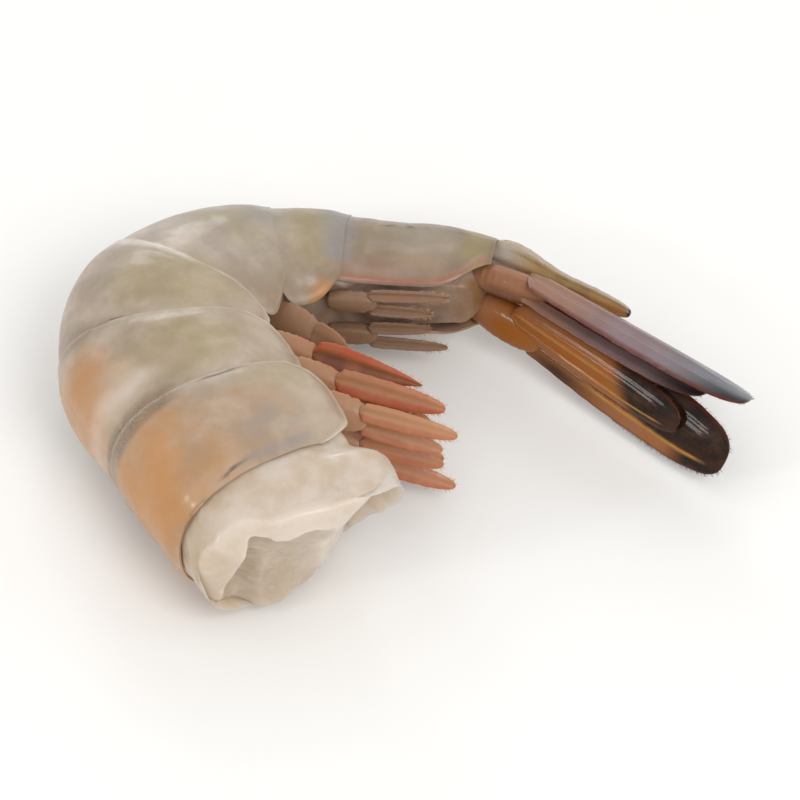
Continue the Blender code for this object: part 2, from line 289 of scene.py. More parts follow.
def named_primitive(name: str) -> tuple[Piece, Array]:
    """Name the primitive that was just added.

    Args:
        name: Its new name.

    Returns:
        The primitive and its points, one per row.
    """
    piece = bpy.context.active_object
    piece.name = piece.data.name = name
    points = np.empty(len(piece.data.vertices) * 3, np.float32)
    piece.data.vertices.foreach_get("co", points)
    return piece, points.reshape(-1, 3).astype(float)


def write_marks(mesh: bpy.types.Mesh, marks: Marks) -> None:
    """Keep the marks as attributes of a mesh.

    Args:
        mesh: The mesh.
        marks: The marks of its points.
    """
    for name, values in marks.items():
        attribute = mesh.attributes.new(name, "FLOAT", "POINT")
        attribute.data.foreach_set("value", np.broadcast_to(values, len(mesh.vertices)).astype(np.float32))
    mesh.update()


def shaped_sheet(name: str, columns: int, rows: int, shape: Shape) -> Piece:
    """An open sheet: a grid primitive whose points are moved by a function.

    Args:
        name: The piece's name.
        columns: Faces along it.
        rows: Faces across it.
        shape: Gives the points and the marks for u and v from 0 to 1.

    Returns:
        The sheet.
    """
    pick()
    bpy.ops.mesh.primitive_grid_add(x_subdivisions=columns, y_subdivisions=rows, size=2)
    piece, start = named_primitive(name)
    points, marks = shape((start[:, 0] + 1) / 2, (start[:, 1] + 1) / 2)
    piece.data.vertices.foreach_set("co", points.astype(np.float32).ravel())
    write_marks(piece.data, marks)
    return piece


def shaped_ball(name: str, rings: int, sides: int, shape: Shape) -> Piece:
    """A closed form: a UV sphere primitive whose points are moved by a function.

    Args:
        name: The piece's name.
        rings: Rings from pole to pole.
        sides: Points round a ring.
        shape: Gives the points and the marks for t, 0 at one pole and 1 at the other, and the angle.

    Returns:
        The closed form, its faces pointing outwards.
    """
    pick()
    bpy.ops.mesh.primitive_uv_sphere_add(segments=sides, ring_count=rings, radius=1)
    piece, start = named_primitive(name)
    t = np.arccos(np.clip(start[:, 2], -1, 1)) / math.pi
    points, marks = shape(t, np.arctan2(start[:, 1], start[:, 0]))
    piece.data.vertices.foreach_set("co", points.astype(np.float32).ravel())
    write_marks(piece.data, marks)
    bpy.ops.object.mode_set(mode="EDIT")
    bpy.ops.mesh.select_all(action="SELECT")
    bpy.ops.mesh.normals_make_consistent(inside=False)
    bpy.ops.object.mode_set(mode="OBJECT")
    return piece


def give_wall(piece: Piece, thickness: float, shares: Array, thinnest: float) -> None:
    """Give an outer sheet its wall, thinner towards its edges.

    Args:
        piece: The sheet, its faces pointing outwards.
        thickness: The full thickness.
        shares: The share of the full thickness at each point.
        thinnest: The smallest share.
    """
    group = piece.vertex_groups.new(name="wall")
    shares = np.round(shares, 2)
    for share in np.unique(shares):
        group.add([int(index) for index in np.nonzero(shares == share)[0]], float(share), "REPLACE")
    pick(piece)
    bpy.ops.object.modifier_add(type="SOLIDIFY")
    wall = piece.modifiers[-1]
    wall.thickness = thickness
    wall.offset = -1
    wall.vertex_group = group.name
    wall.thickness_vertex_group = thinnest
    bpy.ops.object.modifier_apply(modifier=wall.name)
    piece.vertex_groups.clear()


def smooth(piece: Piece, angle: float = 55.0) -> None:
    """Shade the piece smooth, apart from edges sharper than the angle in degrees."""
    pick(piece)
    bpy.ops.object.shade_smooth_by_angle(angle=math.radians(angle))


def join(pieces: list[Piece], name: str) -> Piece:
    """Make one piece of several, or name a lone one.

    Args:
        pieces: What becomes one piece.
        name: Its name.

    Returns:
        The one piece.
    """
    pick(*pieces)
    if len(pieces) > 1:
        bpy.ops.object.join()
    joined = bpy.context.active_object
    joined.name = joined.data.name = name
    return joined


BLUNT = 0.12                  # a bristle's radius at its tip, as a share of the one at its root
TINY = 1e-9                   # keeps a sideways vector of no length from being divided by 0


def bristles(name: str, roots: Array, ways: Array, lengths: Array, thick: float, marks: Marks) -> Piece:
    """A fringe: one bristle, modelled once and copied to every root.

    Args:
        name: The fringe's name.
        roots: Where each bristle stands.
        ways: The unit vector along each.
        lengths: How long each is.
        thick: The radius at the root.
        marks: One value of each mark for all of them.

    Returns:
        All the bristles as one mesh.
    """
    pick()
    bpy.ops.mesh.primitive_cone_add(vertices=4, radius1=1, radius2=BLUNT, depth=1, location=(0, 0, 0.5))
    bpy.ops.object.transform_apply(location=True, rotation=True, scale=True)
    piece, model = named_primitive(name)
    mesh = piece.data
    faces = np.array([tuple(face.vertices) for face in mesh.polygons])
    side = np.cross(ways, [0.0, 0.0, 1.0])
    side /= np.linalg.norm(side, axis=1, keepdims=True) + TINY
    axes = (side * thick, np.cross(ways, side) * thick, ways * lengths[:, None])
    points = roots[:, None] + sum(model[None, :, i, None] * way[:, None] for i, way in enumerate(axes))
    every = [face for copy in range(len(roots)) for face in (faces + len(model) * copy).tolist()]
    mesh.clear_geometry()
    mesh.from_pydata(points.reshape(-1, 3).tolist(), [], every)
    write_marks(mesh, marks)
    return piece


# ----------------------------------------------------------------------------------- the finishes


def linear(colour: str) -> tuple[float, float, float, float]:
    """Turn an sRGB colour to linear light.

    Args:
        colour: The colour in hex, such as "#c08060".

    Returns:
        Its red, green and blue, and 1 because it is opaque.
    """
    values = [int(colour[i : i + 2], 16) / 255 for i in (1, 3, 5)]
    red, green, blue = (v / 12.92 if v <= 0.04045 else ((v + 0.055) / 1.055) ** 2.4 for v in values)
    return red, green, blue, 1.0


def add_node(tree: Tree, kind: str, inputs: dict | None = None, **settings: object) -> bpy.types.Node:
    """Add a node with its settings and its links.

    Args:
        tree: The material's node tree.
        kind: The node's type without the leading ShaderNode.
        inputs: For each input, by name or number, the socket that feeds it or its value.
        **settings: The node's own properties.

    Returns:
        The new node.
    """
    node = tree.nodes.new("ShaderNode" + kind)
    for name, value in settings.items():
        setattr(node, name, value)
    for key, value in (inputs or {}).items():
        if isinstance(value, Socket):
            tree.links.new(value, node.inputs[key])
        else:
            node.inputs[key].default_value = value
    return node


@dataclass(frozen=True)
class Patchwork:
    """A pattern of soft patches."""

    detail: float
    roughness: float
    ends: tuple[float, float]         # the two heights of the noise between which it changes
    curve: str = "LINEAR"

    def draw(self, tree: Tree, spot: Socket, size: float, low: float = 0.0, high: float = 1.0) -> Socket:
        """Add the pattern to a material.

        Args:
            tree: The material's node tree.
            spot: Where the pattern is read.
            size: The size of the patches in millimetres.
            low: Its value between the patches.
            high: Its value on them.

        Returns:
            The pattern's value.
        """
        grain = {"Vector": spot, "Scale": 1 / (size * MM), "Detail": self.detail, "Roughness": self.roughness}
        height = add_node(tree, "TexNoise", grain).outputs["Fac"]
        start, end = self.ends
        span = {"Value": height, "From Min": start, "From Max": end, "To Min": low, "To Max": high}
        return add_node(tree, "MapRange", span, interpolation_type=self.curve).outputs["Result"]


CLOUDS = Patchwork(4.0, 0.55, (0.36, 0.66), "SMOOTHSTEP")
BLOTCHES = Patchwork(3.0, 0.60, (0.35, 0.62))
DAMPNESS = Patchwork(3.0, 0.50, (0.30, 0.70))


@dataclass(frozen=True)
class Tint:
    """A colour that lies over a finish where its mark shows."""

    mark: str                 # the attribute that says where
    colour: str
    strength: float = 1.0
    patch: float = 0.0        # size of the patches that break it up, in millimetres
    unevenness: float = 0.7   # how much the patches break it up

    def share(self, tree: Tree, spot: Socket) -> Socket:
        """How strongly the tint shows: its mark, broken up by patches.

        Args:
            tree: The material's node tree.
            spot: Where the patches are read.

        Returns:
            The tint's share, from 0 to 1.
        """
        share = add_node(tree, "Attribute", attribute_name=self.mark).outputs["Fac"]
        if self.patch:
            broken = BLOTCHES.draw(tree, spot, self.patch, 1 - self.unevenness)
            share = add_node(tree, "Math", {0: share, 1: broken}, operation="MULTIPLY").outputs["Value"]
        both = {0: share, 1: self.strength}
        return add_node(tree, "Math", both, operation="MULTIPLY", use_clamp=True).outputs["Value"]


@dataclass(frozen=True)
class Relief:
    """A fine bump on a finish."""

    size: float               # millimetres from crest to crest
    depth: float              # millimetres
    stretch: tuple[float, float, float] = (1.0, 1.0, 1.0)


@dataclass(frozen=True)
class WetFinish:
    """The wet surface of raw seafood: soft light from below the skin, under a thin film of water."""

    name: str
    base: str
    second: str                       # the colour that the base drifts to in soft clouds
    clouds: float                     # size of those clouds, in millimetres
    tints: tuple[Tint, ...]
    reliefs: tuple[Relief, ...]
    speckle: str | None = None        # the mark that makes the pigment dots dense
    speckle_colour: str = "#5E544B"
    speckle_size: float = 0.30        # millimetres from dot to dot, coarser than real so that they show
    speckle_drift: float = 1.6        # millimetres over which the dots grow and shrink
    dots: tuple[float, float] = (0.19, 0.646)     # their radius without and with the mark
    dot_edge: float = 0.12                        # how soft their edge is
    dot_strength: float = 0.75
    skin_ior: float = 1.42
    roughness: float = 0.34
    unevenness: float = 0.12          # how far the roughness drifts
    drift: float = 2.5                # millimetres over which it does
    gloss: float = 0.5                # reflection of the skin itself
    film: float = 0.45                # weight of the film of water
    film_roughness: float = 0.12
    water_ior: float = 1.33
    glow: float = 0.30                # subsurface weight
    glow_reach: tuple[float, float, float] = (1.0, 0.55, 0.35)
    glow_scale: float = 1.3           # millimetres

    def build(self) -> bpy.types.Material:
        """Build the finish.

        Returns:
            The material, named for the finish.
        """
        material = bpy.data.materials.new(self.name)
        material.use_nodes = True
        tree = material.node_tree
        tree.nodes.clear()
        spot = add_node(tree, "TexCoord").outputs["Object"]
        layers = [(CLOUDS.draw(tree, spot, self.clouds), self.second)]
        layers += [(tint.share(tree, spot), tint.colour) for tint in self.tints]
        if self.speckle:
            layers.append((self.speckled(tree, spot), self.speckle_colour))
        colour = linear(self.base)
        for share, over in layers:
            mix = add_node(tree, "Mix", {"Factor": share, "A": colour, "B": linear(over)}, data_type="RGBA")
            colour = mix.outputs["Result"]
        smoothest, roughest = self.roughness - self.unevenness, self.roughness + self.unevenness
        skin = {
            "Base Color": colour,
            "Roughness": DAMPNESS.draw(tree, spot, self.drift, smoothest, roughest),
            "IOR": self.skin_ior,
            "Specular IOR Level": self.gloss,
            "Normal": self.raised(tree, spot),
            "Subsurface Weight": self.glow,
            "Subsurface Radius": self.glow_reach,
            "Subsurface Scale": self.glow_scale * MM,
            "Coat Weight": self.film,
            "Coat Roughness": self.film_roughness,
            "Coat IOR": self.water_ior,
        }
        shader = add_node(tree, "BsdfPrincipled", skin).outputs["BSDF"]
        add_node(tree, "OutputMaterial", {"Surface": shader})
        return material

    def speckled(self, tree: Tree, spot: Socket) -> Socket:
        """The pigment dots.

        Args:
            tree: The material's node tree.
            spot: Where the dots are read.

        Returns:
            How strongly a dot shows.
        """
        cells = add_node(tree, "TexVoronoi", {"Vector": spot, "Scale": 1 / (self.speckle_size * MM)})
        drift = add_node(tree, "TexNoise", {"Vector": spot, "Scale": 1 / (self.speckle_drift * MM)})
        mark = add_node(tree, "Attribute", attribute_name=self.speckle).outputs["Fac"]
        small, large = self.dots
        radius = add_node(tree, "MapRange", {"Value": mark, "To Min": small, "To Max": large})
        factors = {0: radius.outputs["Result"], 1: drift.outputs["Fac"]}
        radius = add_node(tree, "Math", factors, operation="MULTIPLY").outputs["Value"]
        terms = {0: radius, 1: cells.outputs["Distance"]}
        inside = add_node(tree, "Math", terms, operation="SUBTRACT").outputs["Value"]
        dot = {"Value": inside, "From Max": self.dot_edge, "To Max": self.dot_strength}
        return add_node(tree, "MapRange", dot).outputs["Result"]

    def raised(self, tree: Tree, spot: Socket) -> Socket:
        """The fine bumps, one after the other.

        Args:
            tree: The material's node tree.
            spot: Where they are read.

        Returns:
            The bumpy normal.
        """
        bump = {}
        for relief in self.reliefs:
            where = add_node(tree, "Mapping", {"Vector": spot, "Scale": relief.stretch}).outputs["Vector"]
            grain = {"Vector": where, "Scale": 1 / (relief.size * MM), "Detail": 3.0}
            noise = add_node(tree, "TexNoise", grain)
            bump |= {"Height": noise.outputs["Fac"], "Distance": relief.depth * MM, "Strength": 1.0}
            bump = {"Normal": add_node(tree, "Bump", bump).outputs["Normal"]}
        return bump["Normal"]


class Palette(Enum):
    """The finishes of the shrimp, each named for what it is."""

    # Chitin over raw muscle: grey-beige, clouded, with pigment dots, a film of melt water, pale edge rims
    # that are partly painted highlight, and a painted highlight streak where plates 3 and 4 meet.
    SHELL = WetFinish(
        name="wet_chitin_over_muscle",
        base="#B6A594",
        second="#9E8C77",
        clouds=6.0,
        tints=(
            Tint("haze", "#897A62", 0.32, 2.8, 0.9),
            Tint("tail", "#806E5C", 0.90, 6.0, 0.35),
            Tint("cream", "#C2AE99", 0.8, 4.0, 0.5),
            Tint("grey", "#978E87", 0.6, 3.0, 0.6),
            Tint("olive", "#96894F", 0.62, 3.5, 0.6),
            Tint("orange", "#BC8244", 0.90, 9.0, 0.2),
            Tint("blush", "#AD7A62", 0.6, 4.0, 0.6),
            # white: a whitish band behind plate 2, and a painted highlight streak where plates 3 and 4 meet
            Tint("white", "#DDD0C6", 0.75, 2.2, 0.45),
            Tint("band", "#7C6A56", 0.85, 2.5, 0.30),
            Tint("blue", "#80848B", 0.70, 5.0, 0.3),
            Tint("dash", "#5E5038", 0.80, 1.2, 0.9),
            Tint("pink", "#A8523C", 0.7, 1.5, 0.5),
            Tint("line", "#463A30", 0.9),
            # rim: the pale thin edges of the plates, partly painted highlight along the flap and rear edges
            Tint("rim", "#DDD2C6", 0.7),
        ),
        reliefs=(Relief(2.6, 0.09), Relief(0.7, 0.03)),
        speckle="band",
        roughness=0.42,
        unevenness=0.10,
        film=0.34,
    )
    # Raw white muscle: milky, warm, with soft fibres and a wet skin, painted shade in the torn hollow and a
    # painted highlight along its lip.
    MEAT = WetFinish(
        name="raw_white_muscle",
        base="#CCBEB1",
        second="#C0AE9A",
        clouds=3.5,
        tints=(
            # hollow: painted shade, darker and greyer inside the torn hollow
            Tint("hollow", "#AD9C86", 0.80, 3.0, 0.4),
            Tint("skin", "#B09672", 0.75, 4.0, 0.5),
            # lip: a painted highlight, a pale line along the hollow's lip and round the torn face's rim
            Tint("lip", "#D9CDC0", 0.7, 1.5, 0.3),
            Tint("belly", "#7C5C42", 0.9, 4.0, 0.3),
            Tint("streak", "#3F2C1E", 0.85, 2.0, 0.3),
            Tint("joint", "#84603C", 0.92, 2.0, 0.3),
        ),
        reliefs=(Relief(1.6, 0.10, (1.0, 1.0, 0.5)), Relief(0.4, 0.03)),
        roughness=0.40,
        film_roughness=0.18,
        glow=0.5,
        glow_reach=(1.0, 0.8, 0.6),
        glow_scale=2.2,
    )
    # The limbs under the belly: thin red-orange blades, paler at the root.
    LIMB = WetFinish(
        name="wet_limb_cuticle",
        base="#B2764E",
        second="#A26440",
        clouds=2.5,
        tints=(
            Tint("dark", "#542A20", 0.95, 2.0, 0.35),
            Tint("pale", "#BC9270", 0.9, 2.5, 0.3),
            Tint("edge", "#A8401E", 0.9, 2.0, 0.35),
            Tint("dull", "#7E6048", 0.95, 2.5, 0.1),
            Tint("fringe", "#CFA080", 0.9),
        ),
        reliefs=(Relief(0.9, 0.04), Relief(0.3, 0.012)),
        roughness=0.40,
        film=0.35,
        film_roughness=0.15,
        glow=0.20,
        glow_scale=0.8,
    )
    # The blades of the tail fan: grey-lilac outside, orange-brown running to near black inside.
    FAN = WetFinish(
        name="wet_fan_cuticle",
        base="#7C655B",
        second="#6A554C",
        clouds=4.0,
        tints=(
            Tint("inside", "#96581E", 0.97, 3.5, 0.2),
            Tint("lilac", "#88747A", 0.85, 3.0, 0.35),
            Tint("steel", "#707A83", 0.92, 3.0, 0.3),
            Tint("flesh", "#9C7052", 0.90, 3.0, 0.3),
            Tint("black", "#140D0B", 0.98, 2.5, 0.12),
            Tint("rib", "#C89048", 0.90, 1.5, 0.3),
            Tint("rim", "#5E2415", 0.85, 1.2, 0.3),
            Tint("fringe", "#4A2C20", 0.95),
        ),
        reliefs=(Relief(1.4, 0.05), Relief(0.35, 0.012)),
        speckle="specks",
        roughness=0.36,
        gloss=0.15,
        film=0.28,
        film_roughness=0.05,
        glow=0.10,
        glow_scale=0.7,
    )
    # The middle spike of the fan: olive horn with an orange-brown tip.
    SPIKE = WetFinish(
        name="wet_horn_of_the_spike",
        base="#A08050",
        second="#8A6A3C",
        clouds=3.0,
        tints=(
            Tint("tip", "#A06A3C", 0.9, 2.5, 0.3),
            # rib: a pale root and a painted highlight along the spike's upper edge
            Tint("rib", "#B9AFA6", 0.8, 1.5, 0.3),
            Tint("groove", "#5A4A32", 0.7, 1.5, 0.4),
            Tint("point", "#241813", 0.95),
            Tint("fringe", "#5A4332", 0.95),
        ),
        reliefs=(Relief(1.4, 0.05), Relief(0.35, 0.012)),
        speckle="specks",
        glow=0.2,
        glow_scale=0.8,
    )

    def material(self) -> bpy.types.Material:
        """The material, made once."""
        return bpy.data.materials.get(self.value.name) or self.value.build()


def dress(piece: Piece, finish: Palette, slot: str, *nodes: str) -> None:
    """Give a piece its finish and its body, and hide the solids that it stands for.

    Args:
        piece: The finished piece.
        finish: Its finish.
        slot: The material slot that it belongs to, which is not used.
        *nodes: The solids that it stands for.
    """
    piece.data.materials.clear()
    piece.data.materials.append(finish.material())
    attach(piece, "root")
    if nodes:
        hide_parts(*nodes)
    LOG.info("%s: %d faces", piece.name, len(piece.data.polygons))


# -------------------------------------------------------------------------------------- the shell


@dataclass(frozen=True)
class Patch:
    """A soft patch of colour on the skin, alike on both sides of the body."""

    mark: str
    along: float              # millimetres from the torn end
    turn: float               # degrees from the back
    reach: float              # millimetres along the body
    round: float              # degrees round the body
    strength: float = 1.0
    fade: tuple[float, float] = (1.45, 0.35)      # where it ends and is whole, as shares of its reach

    def share(self, far: Array, off: Array, uneven: Array) -> Array:
        """How strongly it shows, so many millimetres from the torn end and degrees from the back."""
        away = np.hypot((far - self.along) / self.reach, (off - self.turn) / self.round) + uneven
        return self.strength * ramp(away, *self.fade)


@dataclass(frozen=True)
class Seam:
    """A line of colour round the body, where two plates meet."""

    mark: str
    along: float              # its place on the side, in millimetres from the torn end
    slant: float              # how much further back it lies on the back
    breadth: float            # half its width in millimetres
    first: float              # where it starts, in degrees from the back
    last: float               # and where it ends
    strength: float = 1.0
    softness: float = 0.4     # how softly its sides fade
    fade: float = 8.0         # degrees over which its ends fade

    def share(self, far: Array, off: Array, turn: Array, waver: Array) -> Array:
        """How strongly the line shows.

        Args:
            far: Millimetres from the torn end.
            off: Degrees from the back.
            turn: Angle round the body.
            waver: How many millimetres the line strays.

        Returns:
            Its share at each place.
        """
        away = np.abs(far - self.along - self.slant * np.cos(turn) - waver)
        share = ramp(away, (1 + self.softness) * self.breadth, (1 - self.softness) * self.breadth)
        if self.first > 0:
            share = share * ramp(off, self.first - 0.75 * self.fade, self.first + 0.75 * self.fade)
            return self.strength * share * ramp(off, self.last + self.fade, self.last - self.fade)
        return self.strength * share * ramp(off, self.last + self.fade, self.last - 1.5 * self.fade)


@dataclass
class Shell:
    """Six overlapping plates of thin chitin, each an arch with a rounded flap down each side."""

    overlap: float = 2.4 * MM
    thickness: float = 0.45 * MM
    thinnest: float = 0.35
    thin_edge: float = 1.3 * MM       # how far from its edges a plate is thinner
    under: float = 0.60 * MM          # how far the front of a plate stands off the meat
    over: float = 1.08 * MM           # how far it stands where it lies over the next
    rise: tuple[float, float] = (0.26, 0.80)      # the shares of its length between which it rises
    tuck: float = 0.26 * MM           # how far its rear edge dips onto the next
    tuck_reach: float = 1.8 * MM
    edge_slant: float = 1.2 * MM      # how much further back its edges lie on the back
    first_front: float = 0.6 * MM
    first_tuck: float = 0.45 * MM     # how far the first plate's front edge dips onto the flesh
    first_tuck_reach: float = 2.5 * MM
    flap: tuple[float, float] = (154.0, 124.0)    # degrees that it reaches round, mid-plate and at a corner
    last_flap: tuple[float, float] = (140.0, 130.0)
    last_corner: float = 34.0         # how far the last plate's lower edge rises at its rear, in degrees
    last_rise: tuple[float, float] = (0.55, 1.0)
    flap_middle: float = 1.06
    flap_square: float = 2.6
    table_gap: float = 0.10 * MM      # how far its lowest place stays clear of the table
    bead: float = 0.10 * MM           # the thickened edge of a flap, with half as deep a groove inside it
    bead_place: tuple[float, float] = (0.45 * MM, 0.35 * MM)
    groove_place: tuple[float, float] = (1.4 * MM, 0.5 * MM)
    waves: tuple[float, float] = (0.045 * MM, 7 * MM)     # height and length of the skin's soft waves
    creases: tuple[float, float] = (0.022 * MM, 2.4 * MM)
    crease_stretch: tuple[float, float, float] = (1.0, 0.5, 1.0)
    radius: float = 10 * MM           # turns an angle round the body into a length for the waves
    # in millimetres from the torn end: where the pale rims, partly painted highlight, are gone and where they
    # are whole, where the tail's brown starts and is whole, and where the dashes start, are whole, fade and
    # end
    pale_rim_and_highlight_ends: tuple[float, float] = (46.0, 38.0)
    tail_ends: tuple[float, float] = (48.0, 64.0)
    dash_ends: tuple[float, float, float, float] = (61.0, 62.5, 73.0, 75.0)
    dash_turn: tuple[float, float] = (60.0, 4.5)  # the dashes' middle and spread, in degrees from the back
    patch_waver: tuple[Wave, ...] = (Wave(0.16, 7 * MM, 7), Wave(0.06, 2.5 * MM, 8))
    seam_waver: tuple[Wave, ...] = (Wave(0.18, 6 * MM, 5), Wave(0.07, 2 * MM, 6))
    columns: int = 64
    rows: int = 220
    patches: tuple[Patch, ...] = (
        Patch("orange", 12.5, 0.0, 8.5, 84.0, 1.0),
        Patch("orange", 10.0, 56.0, 5.0, 40.0, 0.5),
        Patch("orange", 26.4, 6.0, 4.4, 38.0, 0.9),
        Patch("orange", 56.0, 148.0, 2.4, 16.0, 0.9),
        Patch("blush", 36.0, 8.0, 4.0, 30.0, 0.35),
        Patch("blush", 46.0, 148.0, 4.5, 18.0, 0.5),
        Patch("blush", 66.0, 126.0, 8.0, 24.0, 0.55),
        Patch("blush", 62.0, 50.0, 3.0, 24.0, 0.3),
        Patch("olive", 36.0, 92.0, 5.0, 30.0, 0.75),
        Patch("olive", 25.5, 86.0, 4.2, 26.0, 0.65),
        Patch("olive", 17.0, 114.0, 3.0, 20.0, 0.5),
        Patch("olive", 48.0, 70.0, 3.0, 26.0, 0.55),
        Patch("olive", 56.0, 64.0, 3.0, 50.0, 0.75),
        Patch("olive", 68.0, 82.0, 8.0, 26.0, 0.3),
        Patch("olive", 75.5, 80.0, 2.6, 44.0, 1.0),
        Patch("grey", 11.0, 98.0, 4.5, 18.0, 0.8),
        Patch("grey", 46.0, 88.0, 5.0, 40.0, 0.75),
        Patch("grey", 68.5, 66.0, 4.0, 26.0, 0.8),
        Patch("grey", 36.0, 40.0, 4.0, 26.0, 0.4),
        Patch("grey", 44.0, 42.0, 5.0, 34.0, 0.7),
        Patch("cream", 10.0, 130.0, 8.0, 26.0, 0.9),
        Patch("cream", 24.0, 132.0, 8.0, 24.0, 0.6),
        Patch("cream", 34.0, 124.0, 5.0, 22.0, 0.5),
        Patch("cream", 24.2, 30.0, 2.6, 56.0, 0.8),
    )
    seams: tuple[Seam, ...] = (
        Seam("band", 19.9, 0.9, 1.3, 0.0, 72.0, 0.9),
        Seam("line", 19.6, 0.4, 0.15, 84.0, 102.0, 0.9),
        Seam("band", 31.6, 0.9, 1.0, 0.0, 48.0, 0.6, 0.7),
        Seam("line", 31.2, 1.0, 0.15, 44.0, 64.0, 0.85),
        # A painted highlight streak where plates 3 and 4 meet, on the back and down the flap.
        Seam("white", 39.8, 1.0, 0.40, 14.0, 90.0, 0.85, 0.7),
        Seam("white", 40.4, 1.0, 0.40, 100.0, 160.0, 0.6, 0.7),
        Seam("blue", 50.6, 0.8, 1.8, 30.0, 84.0, 0.55, 0.9),
        Seam("blue", 58.8, 0.8, 1.6, 24.0, 112.0, 0.85, 0.9),
        Seam("blue", 7.4, 0.0, 0.45, 76.0, 110.0, 0.6, 0.8),
        Seam("line", 7.4, 0.0, 0.18, 64.0, 78.0, 0.8),
        Seam("line", 6.6, 0.0, 0.16, 20.0, 60.0, 0.35),
        Seam("white", 23.4, 0.9, 0.9, 0.0, 70.0, 0.45, 0.8),
        Seam("pink", 60.5, 0.0, 0.25, 132.0, 150.0, 0.7),
    )

    def colour_marks(self, along: Array, turn: Array, skin: Array) -> Marks:
        """Where each colour lies on the skin.

        Args:
            along: Distance along the spine.
            turn: Angle round the body.
            skin: The skin rolled out flat, which steers the wavering of the lines.

        Returns:
            A share from 0 to 1 for each mark and point.
        """
        marks = {tint.mark: np.zeros(len(along)) for tint in Palette.SHELL.value.tints}
        far, off = along / MM, np.abs(np.degrees(turn))
        uneven, waver = ripple(skin, *self.patch_waver), ripple(skin, *self.seam_waver)
        for patch in self.patches:
            marks[patch.mark] = np.maximum(marks[patch.mark], patch.share(far, off, uneven))
        for seam in self.seams:
            marks[seam.mark] = np.maximum(marks[seam.mark], seam.share(far, off, turn, waver))
        return marks | {"haze": 1.0, "tail": ramp(far, *self.tail_ends)}

    def outer_face(self, number: int) -> Shape:
        """The outer face of one plate.

        Args:
            number: The plate, from 1 at the torn end to 6 at the tail.

        Returns:
            A function that gives the face's points and marks.
        """
        first, last = number == 1, number == 6
        front = BODY.starts[number] - (self.first_front if first else self.overlap)
        length = BODY.starts[number + 1] - front
        lowest, corner = self.last_flap if last else self.flap
        waves, creases = Wave(*self.waves, number), Wave(*self.creases, number + 9)

        def shape(u: Array, v: Array) -> tuple[Array, Marks]:
            """Shape the face.

            Args:
                u: From 0 at the front edge to 1 at the rear one.
                v: From 0 at one flap's edge to 1 at the other's.

            Returns:
                The points and their marks.
            """
            across = 1 - 2 * v
            limit = corner + (lowest - corner) * (1 - np.abs(2 * u - self.flap_middle) ** self.flap_square)
            limit = np.radians(limit - last * self.last_corner * ramp(u, *self.last_rise) ** 2)
            turn = across * limit
            slant = self.edge_slant * np.cos(turn) * (u if first else 1 - u if last else 1)
            along = front + u * length + slant
            to_rear = (1 - u) * length
            to_edge = (1 - np.abs(across)) * limit * BODY.belly(along)
            stand_off = self.under + (self.over - self.under) * ramp(u, *self.rise)
            stand_off = stand_off - self.tuck * ramp(to_rear, self.tuck_reach, 0) * (not last)
            stand_off = stand_off - self.first_tuck * ramp(u * length, self.first_tuck_reach, 0) * first
            skin = as_points(along, turn * self.radius, 0.0)
            relief = self.bead * (hump(to_edge, *self.bead_place) - hump(to_edge, *self.groove_place) / 2)
            relief = relief + ripple(skin, waves) + ripple(skin * self.crease_stretch, creases)
            back, left = BODY.section(along, turn, stand_off + relief)
            points = lay_down(BODY.place(along, back, left), self.over - stand_off + self.table_gap)
            marks = self.colour_marks(along, turn, skin)
            # The rim: a pale line along the flap edges and the rear edge, partly thin chitin and partly
            # painted highlight.
            rim = np.maximum(0.25 * ramp(to_rear / MM, 0.4, 0.1), 0.55 * hump(to_edge / MM, 0.35, 0.4))
            marks["rim"] = rim * ramp(along / MM, *self.pale_rim_and_highlight_ends)
            if last:
                self.mark_last_plate(marks, turn, to_edge / MM, to_rear / MM, skin)
            return points, marks

        return shape

    def mark_last_plate(self, marks: Marks, turn: Array, to_edge: Array, to_rear: Array, skin: Array) -> None:
        """Add the last plate's own marks: dashes beside the keel, a pink lower edge and a dark rear edge.

        Args:
            marks: The plate's marks, which are changed.
            turn: Angle round the body.
            to_edge: Millimetres to the lower edge.
            to_rear: Millimetres to the rear edge.
            skin: The skin rolled out flat.
        """
        far, off = skin[:, 0] / MM, np.abs(np.degrees(turn))
        broken = ramp(ripple(skin, Wave(1.0, 2.4 * MM, 21)), -0.1, 0.5)
        start, full, fading, end = self.dash_ends
        marks["dash"] = hump(off, *self.dash_turn) * ramp(far, start, full) * ramp(far, end, fading) * broken
        own = {
            "pink": 0.7 * hump(to_edge, 0.6, 0.4),
            "olive": hump(to_rear, 1.6, 1.2) * ramp(off, 40, 70),
            "line": 0.35 * hump(to_rear, 0.3, 0.3),
        }
        for mark, share in own.items():
            marks[mark] = np.maximum(marks[mark], share)

    def wall_shares(self, number: int) -> Array:
        """How thick a plate is.

        Args:
            number: The plate.

        Returns:
            The share of the full thickness at each point of its grid.
        """
        u = np.tile(np.linspace(0, 1, self.columns + 1), self.rows + 1)
        v = np.repeat(np.linspace(0, 1, self.rows + 1), self.columns + 1)
        length = BODY.starts[number + 1] - BODY.starts[number] + self.overlap
        breadth = 2 * math.radians(self.flap[0]) * 1.1 * self.radius
        to_edge = np.minimum(np.minimum(u, 1 - u) * length, np.minimum(v, 1 - v) * breadth)
        return self.thinnest + (1 - self.thinnest) * ramp(to_edge, 0, self.thin_edge)

    def build(self) -> None:
        """Make and dress the six plates."""
        for number in range(1, 7):
            piece = shaped_sheet(f"plate_{number}", self.columns, self.rows, self.outer_face(number))
            give_wall(piece, self.thickness, self.wall_shares(number), self.thinnest)
            smooth(piece)
            dress(piece, Palette.SHELL, "shell", f"shell_{number}")


# --------------------------------------------------------------------------------------- the meat


@dataclass(frozen=True)
class Lump:
    """A soft lump on the torn face, at a place from -1 to 1 across the section."""

    height: float
    back: float
    back_spread: float
    left: float
    left_spread: float

    def at(self, back: Array, left: Array) -> Array:
        """Its height at each place."""
        return self.height * hump(back, self.back, self.back_spread) * hump(left, self.left, self.left_spread)


